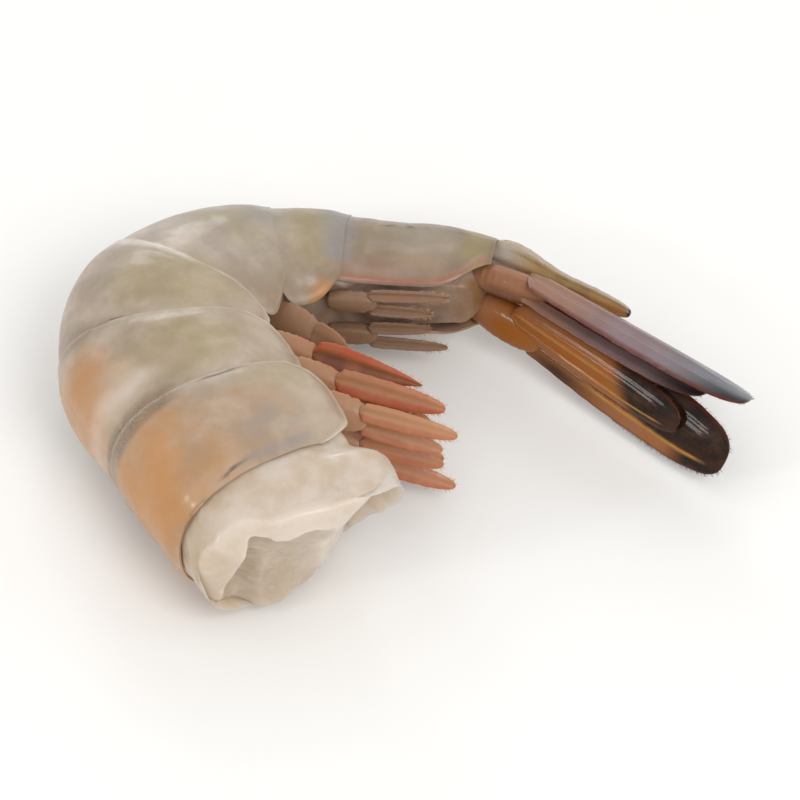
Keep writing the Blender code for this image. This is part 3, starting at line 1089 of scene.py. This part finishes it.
@dataclass
class Meat:
    """The white muscle: torn at the front, flat along the belly, closed inside the last plate."""

    end: float = BODY.starts[BODY.TAIL] - 0.4 * MM
    belly_flat: float = 0.76          # how deep the flat belly lies, as a share of the section's depth
    belly_bare: float = 0.22          # how much deeper where no plate covers it
    bare: float = 0.8 * MM            # how much thicker the flesh is where no plate covers it
    bare_stretch: tuple[float, float] = (6.6 * MM, 2.5 * MM)      # where it is covered and where it is bare
    clear: float = 0.15 * MM          # how far it stays inside the skin elsewhere
    lowest: float = 1.7 * MM          # above the table
    face: float = 0.34                # share of the rings that make the torn face
    rim_reach: float = 0.06           # share of the rings over which its rim fades into the side
    rim_shrink: float = 0.05
    closing: float = 0.90             # where the rings start to close the rear end
    rounding: float = 3.2 * MM
    face_place: float = 1.5 * MM
    face_slant: tuple[float, float] = (-0.2 * MM, 2.4 * MM)
    face_twist: float = 4.2 * MM
    dome: float = 2.0 * MM
    lump: Lump = Lump(1.1 * MM, -0.20, 0.5, 0.40, 0.50)
    cut: Lump = Lump(5.0 * MM, -0.85, 0.50, 0.15, 0.80)
    low_cut: float = 2.0 * MM
    low_lump: float = 1.9 * MM
    hollow: float = 2.4 * MM
    lip: float = 0.12 * MM
    lip_height: float = 0.68          # how far to the left the hollow's lip lies
    lip_waves: tuple[Wave, ...] = (Wave(0.05, 0.55, 31), Wave(0.022, 0.16, 32))
    tufts: tuple[Wave, ...] = (Wave(0.13 * MM, 0.36, 33), Wave(0.05 * MM, 0.12, 34))
    rim_tear: Wave = Wave(0.35 * MM, 0.55, 35)
    ribs: tuple[float, float] = (0.35 * MM, 1.1 * MM)     # height and spread of the rib where a plate starts
    swells: tuple[Wave, ...] = (Wave(0.010, 5 * MM, 36), Wave(0.004, 1.7 * MM, 37))
    girth: float = 9 * MM             # turns an angle round the body into a length for the swells
    flare: tuple[float, float, float] = (0.18, math.radians(138), math.radians(26))   # size, turn and spread
    rings: int = 300
    sides: int = 220

    def hollow_share(self, back: Array, left: Array) -> Array:
        """How deep in the torn hollow a place of the face lies.

        Args:
            back: Its place towards the back, from -1 to 1.
            left: Its place towards the left, from -1 to 1.

        Returns:
            1 below the hollow's lip and 0 above it.
        """
        lip = self.lip_height + 0.14 * hump(back, 0.66, 0.30) - 0.22 * ramp(-back, 0.0, 0.6)
        lip = lip + ripple(as_points(back, left), *self.lip_waves)
        return ramp(lip - left, 0.0, 0.22) * ramp(back + 0.18 * left, 0.70, 0.50) * ramp(-back, 0.40, -0.10)

    def torn_face(self, back: Array, left: Array, inside: Array) -> Array:
        """How far the torn face stands forward of its rim.

        Args:
            back: A place towards the back, from -1 to 1.
            left: Its place towards the left, from -1 to 1.
            inside: How deep in the hollow it lies.

        Returns:
            The distance at each place.
        """
        far = np.clip(back**2 + left**2, 0, 1)
        raised = self.dome * np.sqrt(1 - far) + self.lump.at(back, left) + self.lip * hump(inside, 0.10, 0.12)
        raised = raised + self.low_lump * hump(back, 0.05, 0.28) * ramp(-left, 0.35, 0.80)
        torn = 0.15 + 0.85 * np.maximum(inside, ramp(-left, 0.0, 0.6))
        raised = raised + torn * ripple(as_points(back, left), *self.tufts)
        sunk = self.hollow * inside * (1 - 0.65 * ramp(far, 0.45, 0.95)) + self.cut.at(back, left)
        return raised - sunk - self.low_cut * ramp(back, 0.30, 0.60) * ramp(-left, -0.45, 0.35)

    def shape(self, t: Array, angle: Array) -> tuple[Array, Marks]:
        """The meat as a closed form.

        Args:
            t: From 0 at the middle of the torn face to 1 at the rear end.
            angle: The angle round it.

        Returns:
            Its points and marks.
        """
        closing, on_face = t > self.closing, t < self.face
        closed = (t - self.closing) / (1 - self.closing)
        share = np.interp(t, [0, self.face], [0, 1])
        share = np.where(closing, np.sqrt(np.clip(1 - closed**2, 0, 1)), share)
        near_rim = ramp(t, self.face + self.rim_reach, self.face)
        back_share, left_share = share * np.cos(angle), share * np.sin(angle)
        inside = self.hollow_share(back_share, left_share)
        front = self.face_place - self.face_slant[0] * back_share - self.face_slant[1] * left_share
        front = front + self.face_twist * back_share * left_share
        front = front - self.torn_face(back_share, left_share, inside) * on_face
        tear = ripple(as_points(np.cos(angle), np.sin(angle)), self.rim_tear)
        front = front + tear * share**4 * near_rim * ~closing
        along = front + (self.end - self.rounding - front) * np.interp(t, [self.face, self.closing], [0, 1])
        along = np.where(closing, self.end - self.rounding * (1 - closed), along)
        bare = ramp(along, *self.bare_stretch)
        back, left = BODY.section(np.maximum(along, 0), angle, self.bare * bare - self.clear)
        rib, rib_spread = self.ribs
        ribs = rib * sum(hump(along, start, rib_spread) for start in BODY.starts[1:7])
        belly = (self.belly_flat + self.belly_bare * bare) * BODY.belly(along) + ribs * (1 - bare)
        size, turn, width = self.flare
        swell = 1 + ripple(as_points(along, angle * self.girth, 0.0), *self.swells)
        swell = swell * (1 + size * bare * hump(angle, turn, width))
        reach = swell * share * (1 - self.rim_shrink * near_rim)
        points = BODY.place(along, np.maximum(back, -belly) * reach, left * reach)
        far, off = along / MM, np.abs(np.degrees(angle))
        upper_side = ramp(t, self.face, self.face + 0.05) * (0.15 + 0.85 * ramp(np.cos(angle), 0.0, 0.8))
        upper_face = ramp(back_share - 0.3 * left_share, 0.35, 0.80) * (1 - inside * on_face) * ~closing
        marks = {
            # The hollow mark darkens the torn hollow as painted shade.
            "hollow": inside * on_face,
            # The lip mark is a painted highlight along the hollow's lip and the face's rim.
            "lip": hump(inside, 0.10, 0.14) * on_face + 0.1 * hump(t, self.face, 0.012),
            "skin": np.maximum(upper_side, upper_face),
            "belly": ramp(far, 40, 58) * ramp(off, 110, 135),
            "streak": hump(far, 66, 4.5) * hump(off, 150, 12),
            "joint": ramp(far, 71, 75),
        }
        return lay_down(points, self.lowest), marks

    def build(self) -> None:
        """Make and dress the meat."""
        piece = shaped_ball("muscle", self.rings, self.sides, self.shape)
        smooth(piece, 80)
        dress(piece, Palette.MEAT, "meat", "meat")


# -------------------------------------------------------------------------- blades, limbs and fan


ROOT_ROUNDING = 0.06          # the share of a blade's length that rounds off its root
WAIST_REACH = 0.4             # and the share over which it narrows to its waist


def leaf(widest: float, root: float, tip: float, waist: float = 0.0) -> Curve:
    """The outline of a blade.

    Args:
        widest: The share of its length where it is widest.
        root: Its width at the root, as a share of the widest.
        tip: How blunt its tip is.
        waist: How much it narrows past its widest place.

    Returns:
        A function from the share of the length to the share of the width.
    """

    def outline(share: Array) -> Array:
        """Read the outline.

        Args:
            share: Shares of the length.

        Returns:
            The share of the width at each of them.
        """
        rise = root + (1 - root) * np.sin(np.clip(share / widest, 0, 1) * np.pi / 2)
        fall = np.clip((share - widest) / (1 - widest), 0, 1)
        round_root = np.clip(share / ROOT_ROUNDING, 0, 1) ** 0.5
        narrowing = 1 - waist * ramp(share, widest, widest + WAIST_REACH)
        return rise * (1 - fall**tip) ** (1 / tip) * round_root * narrowing

    return outline


@dataclass(frozen=True)
class Fringe:
    """The bristles along both edges of a blade, as far as its tip."""

    first: float              # the share of the blade's length where they start
    per_mm: float             # how many stand on each millimetre
    length: float
    thick: float = 0.022 * MM         # their radius at the root
    lean: float = 0.55                # how far they lean towards the tip
    scatter: float = 0.12             # how far each strays from that way
    lengths: tuple[float, float] = (0.55, 1.1)    # the shortest and longest, as shares of the length
    least: float = 0.3                # the share of their length at the first ones
    growth: float = 8.0               # how fast they grow from there
    sunk: float = 0.1                 # the share of their length that starts inside the edge
    inset: float = 0.97               # where they stand, as a share of the half width
    steps: int = 160                  # places at which each edge is measured


@dataclass
class Blade:
    """A flat, tapering blade from its base, in metres.

    Its relief and marks are read at the share of its length, the side from -1 to 1 and, for the marks,
    the face: 1 on the middle of the upper face and -1 on the middle of the lower one.
    """

    base: Array
    ahead: Array
    across: Array
    length: float
    width: float
    thickness: float
    outline: Curve
    marks: MarkRule
    relief: ReliefRule
    cup: float
    rough_edge: float
    seed: int
    TEARS: ClassVar[int] = 12         # how many waves of its rough edge go into its length

    def __post_init__(self) -> None:
        """Square up the blade's own axes."""
        self.ahead = unit(self.ahead)
        self.across = unit(self.across - np.dot(self.across, self.ahead) * self.ahead)
        self.facing = np.cross(self.ahead, self.across)

    def point(self, share: Array, side: Array, lift: Array | float) -> Array:
        """Points of the blade.

        Args:
            share: The share of its length.
            side: The distance from its middle line.
            lift: The distance from its middle face, which is cupped.

        Returns:
            One point per row.
        """
        lift = lift + self.cup * (side / (self.width / 2)) ** 2
        flat = np.outer(share * self.length, self.ahead) + np.outer(side, self.across)
        return self.base + flat + np.outer(lift, self.facing)

    def shape(self, t: Array, angle: Array) -> tuple[Array, Marks]:
        """The blade as a closed form.

        Args:
            t: From 0 at its root to 1 at its tip.
            angle: The angle round it.

        Returns:
            Its points and marks.
        """
        share = (1 - np.cos(np.pi * t)) / 2
        edge, face = np.cos(angle), np.sin(angle)
        tears = Wave(self.rough_edge, 1.0, self.seed)
        ragged = 1 + ripple(as_points(share * self.TEARS, np.sign(edge)), tears)
        side = self.width / 2 * self.outline(share) * ragged * edge
        lift = self.thickness / 2 * self.outline(share) ** 0.5 * face
        lift = lift + np.sign(face) * self.relief(share, edge) * face**2
        return self.point(share, side, lift), self.marks(share, edge, face)

    def build(self, name: str, rings: int, sides: int) -> Piece:
        """Make the blade."""
        return shaped_ball(name, rings, sides, self.shape)

    def fringe(self, name: str, fringe: Fringe, marks: Marks, seed: int) -> Piece:
        """The blade's bristles.

        Args:
            name: The fringe's name.
            fringe: What its bristles are like.
            marks: A value of each mark for all of them.
            seed: Chooses their small differences.

        Returns:
            The fringe.
        """
        random = np.random.default_rng(seed)
        share = np.linspace(fringe.first, 1.0, fringe.steps)
        half = self.width / 2 * self.outline(share)
        edge = np.concatenate([as_points(share, half), as_points(share, -half)[-2::-1]])
        places = edge * [self.length, 1]
        run = np.concatenate([[0], np.cumsum(np.linalg.norm(np.diff(places, axis=0), axis=1))])
        count = int(run[-1] / MM * fringe.per_mm)
        at = np.sort(random.uniform(0, run[-1], count))
        along, side = (np.interp(at, run, edge[:, i]) for i in (0, 1))
        ahead, aside = (np.interp(at, run, np.gradient(places[:, i], run)) for i in (0, 1))
        outward = as_points(-aside, ahead)
        inwards = 0.3 * outward[:, 0] + np.sign(side) * outward[:, 1] < 0
        outward[inwards] *= -1
        outward[:, 0] += fringe.lean
        outward += random.normal(0, fringe.scatter, outward.shape)
        ways = np.outer(outward[:, 0], self.ahead) + np.outer(outward[:, 1], self.across)
        ways = ways + np.outer(random.normal(0, fringe.scatter, count), self.facing)
        ways /= np.linalg.norm(ways, axis=1, keepdims=True)
        grown = np.clip((along - fringe.first) * fringe.growth + fringe.least, fringe.least, 1)
        lengths = fringe.length * random.uniform(*fringe.lengths, count) * grown
        roots = self.point(along, side * fringe.inset, 0.0 * along) - ways * fringe.sunk * fringe.length
        drawn = along < share[-2]             # the very tip stays bare
        return bristles(name, roots[drawn], ways[drawn], lengths[drawn], fringe.thick, marks)


@dataclass(frozen=True)
class LimbSize:
    """One pair of limbs, in millimetres and degrees."""

    along: float
    heading: float
    drop: float
    stalk: float
    blades: tuple[float, float]       # the lengths of the outer and the inner one
    tone: float                       # 0 pale peach to 1 dark red
    broad: float                      # how broad its blades are
    dull: float = 0.0                 # how brown and dull it is
    sturdy: float = 1.0               # how broad its stalk is
    blunt: float = 2.4                # how blunt its blades end


@dataclass
class Limbs:
    """The five pairs of limbs under the belly: flat stalks, each with two long blades."""

    sizes: tuple[LimbSize, ...] = (
        LimbSize(17.5, -13.0, 10.0, 7.5, (11.6, 10.0), 0.08, 1.05),
        LimbSize(25.0, -15.0, 9.0, 8.2, (13.2, 11.6), 0.40, 1.3),
        LimbSize(32.0, -18.0, 7.0, 7.6, (13.4, 11.4), 0.95, 1.6, blunt=1.3),
        LimbSize(47.0, -38.0, 6.0, 6.6, (5.4, 4.6), 0.0, 2.0, 0.55, 1.4),
        LimbSize(58.0, -4.0, 1.0, 5.0, (9.5, 7.6), 0.3, 0.65, 1.0, 0.62),
    )
    root_back: float = 0.76           # the share of the belly's depth where they are rooted
    root_below: float = 0.3 * MM
    root_left: float = 2.7 * MM
    inset: float = 1.1 * MM           # how far the stalk's root reaches into the belly
    stalk_size: tuple[float, float] = (4.3 * MM, 1.7 * MM)
    stalk_lap: float = 1.2            # millimetres by which a stalk reaches over its blades
    blade_size: tuple[float, float] = (2.3 * MM, 0.7 * MM)
    blade_apart: float = 1.15 * MM
    blade_spread: float = 2.0         # degrees by which each blade turns away from the other
    blade_cup: float = 0.35 * MM
    lean: float = math.radians(40)    # how far the blades lean over, like shingles
    hairs: Fringe = Fringe(0.62, 12.0, 0.55 * MM)

    def stalk_marks(self, size: LimbSize) -> MarkRule:
        """A stalk's colours: pale, with a faint reddish edge.

        Args:
            size: The limb's size.

        Returns:
            A function that gives the stalk's marks.
        """

        def marks(share: Array, edge: Array, face: Array) -> Marks:
            """Colour the piece.

            Args:
                share: From 0 at the root to 1 at the tip.
                edge: From -1 at one edge to 1 at the other.
                face: From -1 on the middle of the lower face to 1 on the middle of the upper one; not used.

            Returns:
                The share of each mark at each point.
            """
            return {
                "pale": 0.95 - 0.35 * size.tone * share,
                "edge": 0.25 * ramp(np.abs(edge), 0.75, 1.0) * ramp(share, 0.2, 0.8) * (1 - size.dull),
                "dull": 0.25 + 0.75 * size.dull,
            }

        return marks

    def blade_marks(self, size: LimbSize, shaded_right_limb: bool) -> MarkRule:
        """A blade's colours: a dark one is red above, a paler one red below, and both have a red rim.

        Args:
            size: The limb's size.
            shaded_right_limb: Whether it is a right limb, which lies lower and is made redder and darker as
                painted shade.

        Returns:
            A function that gives the blade's marks.
        """

        def marks(share: Array, edge: Array, face: Array) -> Marks:
            """Colour the piece.

            Args:
                share: From 0 at the root to 1 at the tip.
                edge: From -1 at one edge to 1 at the other.
                face: From -1 on the middle of the lower face to 1 on the middle of the upper one; not used.

            Returns:
                The share of each mark at each point.
            """
            upper, lower = ramp(edge, 0.25, 0.60), ramp(-edge, 0.05, 0.45)
            rim = ramp(np.abs(edge), 0.80, 1.0) * (0.4 + 0.4 * size.tone)
            red = np.maximum(size.tone**2 * upper, 3.2 * size.tone * (1 - size.tone) * lower)
            # A right limb lies lower, under the left ones: its extra red and darker tone is painted shade.
            red = np.maximum(red, 0.45 * shaded_right_limb * (1 - size.tone) * (0.5 + 0.5 * lower))
            return {
                "pale": (1 - size.tone) * (1 - 0.8 * lower) * (0.95 - 0.25 * share),
                "dark": size.tone**2 * (1 - upper) * (1 - 0.4 * share),
                "edge": np.maximum(rim, red) * (1 - 0.9 * size.dull),
                "dull": size.dull,
            }

        return marks

    def stalk_relief(self, share: Array, edge: Array) -> Array:
        """A low ridge along the stalk."""
        return 0.1 * MM * hump(edge, 0.3, 0.3)

    def blade_relief(self, share: Array, edge: Array) -> Array:
        """A groove along the middle of a blade and a ridge beside it."""
        return 0.10 * MM * hump(edge, 0.55, 0.12) - 0.12 * MM * hump(edge, 0, 0.28)

    def build_one(self, number: int, side: int) -> None:
        """Make and dress one limb.

        Args:
            number: Its pair, from 1 at the torn end.
            side: 1 for the left one and -1 for the right one.
        """
        size, seed = self.sizes[number - 1], number * 10 + (side > 0)
        width, thickness = self.stalk_size
        place = size.along * MM
        back = -self.root_back * BODY.belly(place) - self.root_below - thickness / 2
        root = BODY.place(place, back, side * self.root_left)
        ahead = direction(size.heading, size.drop)
        across = np.array([0, math.sin(self.lean), math.cos(self.lean)])
        stalk = Blade(
            root - ahead * self.inset, ahead, across, size.stalk * MM + self.inset, width * size.sturdy,
            thickness, leaf(0.5, 0.7, 2.5), self.stalk_marks(size), self.stalk_relief, 0.0, 0.03, seed,
        )
        pieces = [stalk.build("stalk", 48, 32)]
        elbow = root + ahead * (size.stalk - self.stalk_lap) * MM
        hairs = {"pale": 0.3 * (1 - size.tone), "edge": 0.3, "dull": size.dull, "fringe": 0.8}
        width, thickness = self.blade_size
        for spread, length in zip((1, -1), size.blades):
            blade = Blade(
                elbow + np.array([0, 0, side * spread * self.blade_apart]),
                direction(size.heading, size.drop - side * spread * self.blade_spread), across,
                length * MM, width * size.broad, thickness, leaf(0.25, 0.85, size.blunt),
                self.blade_marks(size, side < 0), self.blade_relief, self.blade_cup, 0.025, seed + spread,
            )
            pieces.append(blade.build("blade", 90, 32))
            pieces.append(blade.fringe("hairs", self.hairs, hairs, seed + 50 * spread + 100))
        name = f"{'left' if side > 0 else 'right'}_{number}"
        piece = join(pieces, f"limb_{name}")
        smooth(piece)
        dress(piece, Palette.LIMB, "swimmeret", f"swimmeret_{name}")

    def build(self) -> None:
        """Make and dress all ten."""
        for number in range(1, len(self.sizes) + 1):
            for side in (1, -1):
                self.build_one(number, side)


@dataclass(frozen=True)
class FanKind:
    """What the pieces of one kind in the tail fan have in common."""

    outline: Curve
    root: float               # how far its root reaches back into what carries it
    finish: Palette
    slot: str
    longer: float = 0.0       # how much longer it is than its solid
    narrower: float = 0.0     # how much narrower
    fringed: bool = False
    sides: int = 96


class Role(Enum):
    """What a piece of the tail fan is."""

    # The lobes reach over the blades' roots, and the blades end early, to leave room for the bristles.
    SPIKE = FanKind(leaf(0.2, 0.45, 3.0, 0.42), 1.0 * MM, Palette.SPIKE, "telson")
    LOBE = FanKind(leaf(0.5, 0.75, 2.6), 1.0 * MM, Palette.FAN, "uropod", 1.6 * MM, sides=64)
    INNER = FanKind(leaf(0.6, 0.75, 3.0), 3.4 * MM, Palette.FAN, "uropod", -0.7 * MM, 0.6 * MM, True)
    OUTER = FanKind(leaf(0.6, 0.75, 3.0), 2.2 * MM, Palette.FAN, "uropod", -0.7 * MM, 0.6 * MM, True)


@dataclass(frozen=True)
class FanPiece:
    """One piece of the tail fan, with the sizes of its solid in millimetres and degrees."""

    name: str
    role: Role
    base: tuple[float, float, float]
    heading: float
    drop: float
    across: tuple[float, float]
    size: tuple[float, float, float]
    cup: float = 0.5


@dataclass
class TailFan:
    """The middle spike, two lobes and four blades of the tail fan."""

    heading: float = math.radians(-36)
    pieces: tuple[FanPiece, ...] = (
        FanPiece("telson", Role.SPIKE, (-3.0, 3.0, 1.2), -26.0, 5.0, (0.45, 0.9), (19.0, 5.2, 1.8), -0.9),
        FanPiece("base_left", Role.LOBE, (-1.0, -0.7, 2.0), -29.0, -3.0, (-0.5, 0.8), (8.0, 5.4, 3.6), 0.0),
        FanPiece("base_right", Role.LOBE, (-0.5, -1.3, -2.4), -38.0, 2.0, (-0.5, -0.86), (7.9, 5, 2.6), 0.0),
        FanPiece("inner_left", Role.INNER, (7.7, 0.1, 2.3), -36.0, 4.0, (-0.93, 0.37), (23.5, 7.2, 0.8)),
        FanPiece("outer_left", Role.OUTER, (7.2, 0.6, 4.1), -36.0, 4.0, (-0.86, 0.50), (29.25, 8.4, 0.9)),
        FanPiece("inner_right", Role.INNER, (7.6, -1.95, -0.6), -41.4, 3.9, (-0.40, -0.92), (22.5, 5.6, 0.8)),
        FanPiece("outer_right", Role.OUTER, (7.6, -1.2, -2.1), -41.7, 3.7, (-0.5, -0.86), (29.2, 8.8, 0.9)),
    )
    rough_edge: float = 0.012
    rings: int = 150
    hairs: Fringe = Fringe(0.45, 14.0, 0.6 * MM)

    def relief(self, role: Role) -> ReliefRule:
        """The relief of one kind of piece.

        Args:
            role: The kind.

        Returns:
            A function that gives how far the relief stands out.
        """

        def spike(share: Array, edge: Array) -> Array:
            """Two ridges with a groove between them."""
            ridges = 0.22 * MM * (hump(edge, 0.30, 0.20) + hump(edge, -0.30, 0.20))
            return (ridges - 0.15 * MM * hump(edge, 0, 0.14)) * (1 - share)

        def blade(share: Array, edge: Array) -> Array:
            """A strong rib along the middle, a second near the outer edge, and fine rays."""
            ribs = 0.26 * MM * hump(edge, -0.12, 0.12) + 0.20 * MM * hump(edge, 0.50, 0.07)
            return (ribs + 0.02 * MM * np.sin(edge * 40 + 3 * share)) * ramp(share, 1.0, 0.7)

        def lobe(share: Array, edge: Array) -> Array:
            """Nothing, because a lobe is smooth."""
            return 0.0 * share

        return {Role.SPIKE: spike, Role.LOBE: lobe}.get(role, blade)

    def marks(self, row: FanPiece) -> MarkRule:
        """The colours of one piece.

        Args:
            row: The piece.

        Returns:
            A function that gives its marks.
        """
        left, outer = row.name.endswith("left"), row.role is Role.OUTER

        def spike(share: Array, edge: Array, face: Array) -> Marks:
            """Olive with an orange end, a pale root, a painted highlight along its upper edge and a dark
            point.

            Args:
                share: From 0 at the root to 1 at the tip.
                edge: From -1 at one edge to 1 at the other.
                face: From -1 on the middle of the lower face to 1 on the middle of the upper one; not used.

            Returns:
                The share of each mark at each point.
            """
            grooves = np.maximum(hump(edge, 0.70, 0.06), 0.5 * hump(edge, -0.05, 0.08))
            return {
                "tip": ramp(share, 0.5, 0.9) * ramp(edge, 0.7, 0.4),
                # The rib mark: a pale root, and a painted highlight along the upper edge.
                "rib": np.maximum(ramp(edge, 0.80, 0.90), ramp(share, 0.40, 0.15)),
                "groove": grooves * ramp(share, 0.15, 0.3),
                "point": ramp(share, 0.975, 0.992),
                "specks": 0.5,
            }

        def lobe(share: Array, edge: Array, face: Array) -> Marks:
            """The left one is pink with a red underside, and the right one is orange-brown.

            Args:
                share: From 0 at the root to 1 at the tip.
                edge: From -1 at one edge to 1 at the other.
                face: From -1 on the middle of the lower face to 1 on the middle of the upper one.

            Returns:
                The share of each mark at each point.
            """
            under = left * ramp(face, 0.35, 0.95) * ramp(share, 0.15, 0.4)
            return {
                "inside": 1.0 - 0.4 * left,
                "flesh": np.maximum(left, 0.7 * ramp(share, 0.5, 0.1)) * (1 - 0.6 * under),
                "black": 0.25 * left * ramp(face, 0.85, 1.0),
                "rim": 0.75 * under + 0.3 * ramp(np.abs(edge), 0.85, 1.0),
                "specks": 0.1,
            }

        def blade(share: Array, edge: Array, face: Array) -> Marks:
            """Grey-lilac on its back, orange-brown running to black on its inner face.

            Args:
                share: From 0 at the root to 1 at the tip.
                edge: From -1 at one edge to 1 at the other.
                face: From -1 on the middle of the lower face to 1 on the middle of the upper one.

            Returns:
                The share of each mark at each point.
            """
            inner = ramp(face if left else -face, -0.15, 0.15)
            back = 1 - inner
            strip = inner * outer * ramp(edge, 0.50, 0.60) * ramp(share, 0.86, 0.72)
            end = ramp(share - 0.08 * edge + 0.08 * outer, 0.60, 0.72)
            black = inner * end * (1 - strip)
            # A near-black band near an outer blade's root, towards one edge: painted shade over the blade's
            # darker base.
            black = black + 0.85 * outer * inner * hump(share, 0.22, 0.16) * ramp(edge, 0.30, 0.8)
            black = black + 0.90 * back * ramp(share, 0.66, 0.95) * ramp(edge, 0.0, 0.8)
            black = black + 0.15 * back * hump(edge, -0.05, 0.10) * (1 - outer)
            outer_rib = hump(edge, 0.52, 0.05) * ramp(share, 0.3, 0.45) * ramp(share, 0.95, 0.86)
            middle_rib = 0.6 * hump(edge, -0.12, 0.07) * ramp(share, 0.7, 0.5)
            all_round = ramp(np.abs(edge), 0.88, 0.99) * (0.3 + 0.7 * inner)
            return {
                "inside": inner,
                "steel": back * ramp(share, 0.45, 0.95) * (0.20 + 0.70 * outer),
                "lilac": back * (0.75 + 0.20 * outer * ramp(share, 0.15, 0.45)),
                "flesh": 0.35 * strip + 0.85 * back * ramp(share, 0.48, 0.12),
                "black": np.clip(black, 0, 1),
                "rib": inner * (outer_rib + middle_rib),
                "rim": np.maximum(all_round, back * outer * ramp(edge, 0.80, 0.95)),
                "specks": 0.25,
            }

        return {Role.SPIKE: spike, Role.LOBE: lobe}.get(row.role, blade)

    def build_one(self, row: FanPiece, seed: int) -> None:
        """Make and dress one piece of the fan.

        Args:
            row: The piece.
            seed: Chooses the waves of its edge and its bristles.
        """
        kind = row.role.value
        left = np.array([0, 0, 1.0])
        ahead = np.array([math.cos(self.heading), math.sin(self.heading), 0])
        back = np.cross(left, ahead)
        tail = BODY.place(BODY.starts[BODY.TAIL], 0.0, 0.0)
        base = tail + (row.base[0] * ahead + row.base[1] * back + row.base[2] * left) * MM
        way = direction(row.heading, row.drop)
        length, width, thickness = (value * MM for value in row.size)
        blade = Blade(
            base - way * kind.root, way, row.across[0] * back + row.across[1] * left,
            length + kind.longer + kind.root, width - kind.narrower, thickness, kind.outline,
            self.marks(row), self.relief(row.role), row.cup * MM, self.rough_edge, seed,
        )
        pieces = [blade.build("body", self.rings, kind.sides)]
        if kind.fringed:
            pieces.append(blade.fringe("hairs", self.hairs, {"fringe": 0.9}, seed + 40))
        piece = join(pieces, f"fan_{row.name}")
        smooth(piece)
        dress(piece, kind.finish, kind.slot, row.name if row.role is Role.SPIKE else f"uropod_{row.name}")

    def build(self) -> None:
        """Make and dress the whole fan."""
        for seed, row in enumerate(self.pieces):
            self.build_one(row, seed)


# -------------------------------------------------------------------------------------- the studio


@dataclass(frozen=True)
class Lamp:
    """A round soft lamp that points at the shrimp."""

    name: str
    place: tuple[float, float, float]
    size: float
    power: float              # watts
    colour: str = "#FFFFFF"


@dataclass
class Studio:
    """A pale table, soft light and the camera, which looks down at the photograph's angle."""

    elevation: float = 47.0
    distance: float = 0.49
    lens: float = 190.3
    target: tuple[float, float, float] = (-0.46 * MM, 0.5 * MM, 8.0 * MM)
    lamps: tuple[Lamp, ...] = (
        Lamp("back_strip", (-0.15, 0.55, 0.20), 0.22, 0.5),
        Lamp("front_box", (0.25, -0.40, 0.50), 0.35, 1.75, "#FFFEFB"),
        Lamp("top_spot", (0.06, 0.48, 0.50), 0.16, 0.2),
        Lamp("low_spot", (-0.45, -0.24, 0.28), 0.08, 0.35),
    )
    sky: float = 0.80
    sky_colour: str = "#FFFFFF"
    table: float = 3.0
    table_colours: tuple[str, str] = ("#F4F3F1", "#EFEEEC")
    table_grain: float = 25 * MM
    table_roughness: float = 0.75

    def floor(self) -> None:
        """The table top, matt and nearly white."""
        pick()
        bpy.ops.mesh.primitive_grid_add(x_subdivisions=8, y_subdivisions=8, size=self.table)
        table = bpy.context.active_object
        table.name = "table_top"
        # Laminate: even and matt, with hardly any grain.
        material = bpy.data.materials.new("matt_white_laminate")
        material.use_nodes = True
        tree = material.node_tree
        spot = add_node(tree, "TexCoord").outputs["Object"]
        noise = add_node(tree, "TexNoise", {"Vector": spot, "Scale": 1 / self.table_grain})
        first, second = map(linear, self.table_colours)
        shades = {"Factor": noise.outputs["Fac"], "A": first, "B": second}
        mix = add_node(tree, "Mix", shades, data_type="RGBA")
        shader = tree.nodes["Principled BSDF"]
        shader.inputs["Roughness"].default_value = self.table_roughness
        tree.links.new(mix.outputs["Result"], shader.inputs["Base Color"])
        table.data.materials.append(material)

    def lights(self) -> None:
        """Large soft lamps and an even pale sky."""
        for row in self.lamps:
            bpy.ops.object.light_add(type="AREA", location=row.place)
            lamp = bpy.context.active_object
            lamp.name = row.name
            lamp.data.shape = "DISK"
            lamp.data.size = row.size
            lamp.data.energy = row.power
            lamp.data.color = linear(row.colour)[:3]
            way = Vector(self.target) - Vector(row.place)
            lamp.rotation_euler = way.to_track_quat("-Z", "Y").to_euler()
        world = bpy.data.worlds.new("pale_studio")
        world.use_nodes = True
        sky = world.node_tree.nodes["Background"]
        sky.inputs["Color"].default_value = linear(self.sky_colour)
        sky.inputs["Strength"].default_value = self.sky
        bpy.context.scene.world = world
        bpy.context.scene.view_settings.view_transform = "Standard"

    def camera(self) -> None:
        """A long lens at the photograph's viewing angle."""
        lift = math.radians(self.elevation)
        back = Vector((0, -math.cos(lift), math.sin(lift)))
        bpy.ops.object.camera_add(location=Vector(self.target) + back * self.distance)
        camera = bpy.context.active_object
        camera.name = "camera"
        camera.rotation_euler = (math.radians(90) - lift, 0, 0)
        camera.data.lens = self.lens
        camera.data.clip_start = 0.01
        bpy.context.scene.camera = camera

    def build(self) -> None:
        """Set up the studio."""
        self.floor()
        self.lights()
        self.camera()


def main() -> None:
    """Build the studio and every sub-assembly in order."""
    logging.basicConfig(level=logging.INFO, format="%(name)s: %(message)s")
    for assembly in (Studio(), Meat(), Shell(), Limbs(), TailFan()):
        assembly.build()


if __name__ == "__main__":
    main()
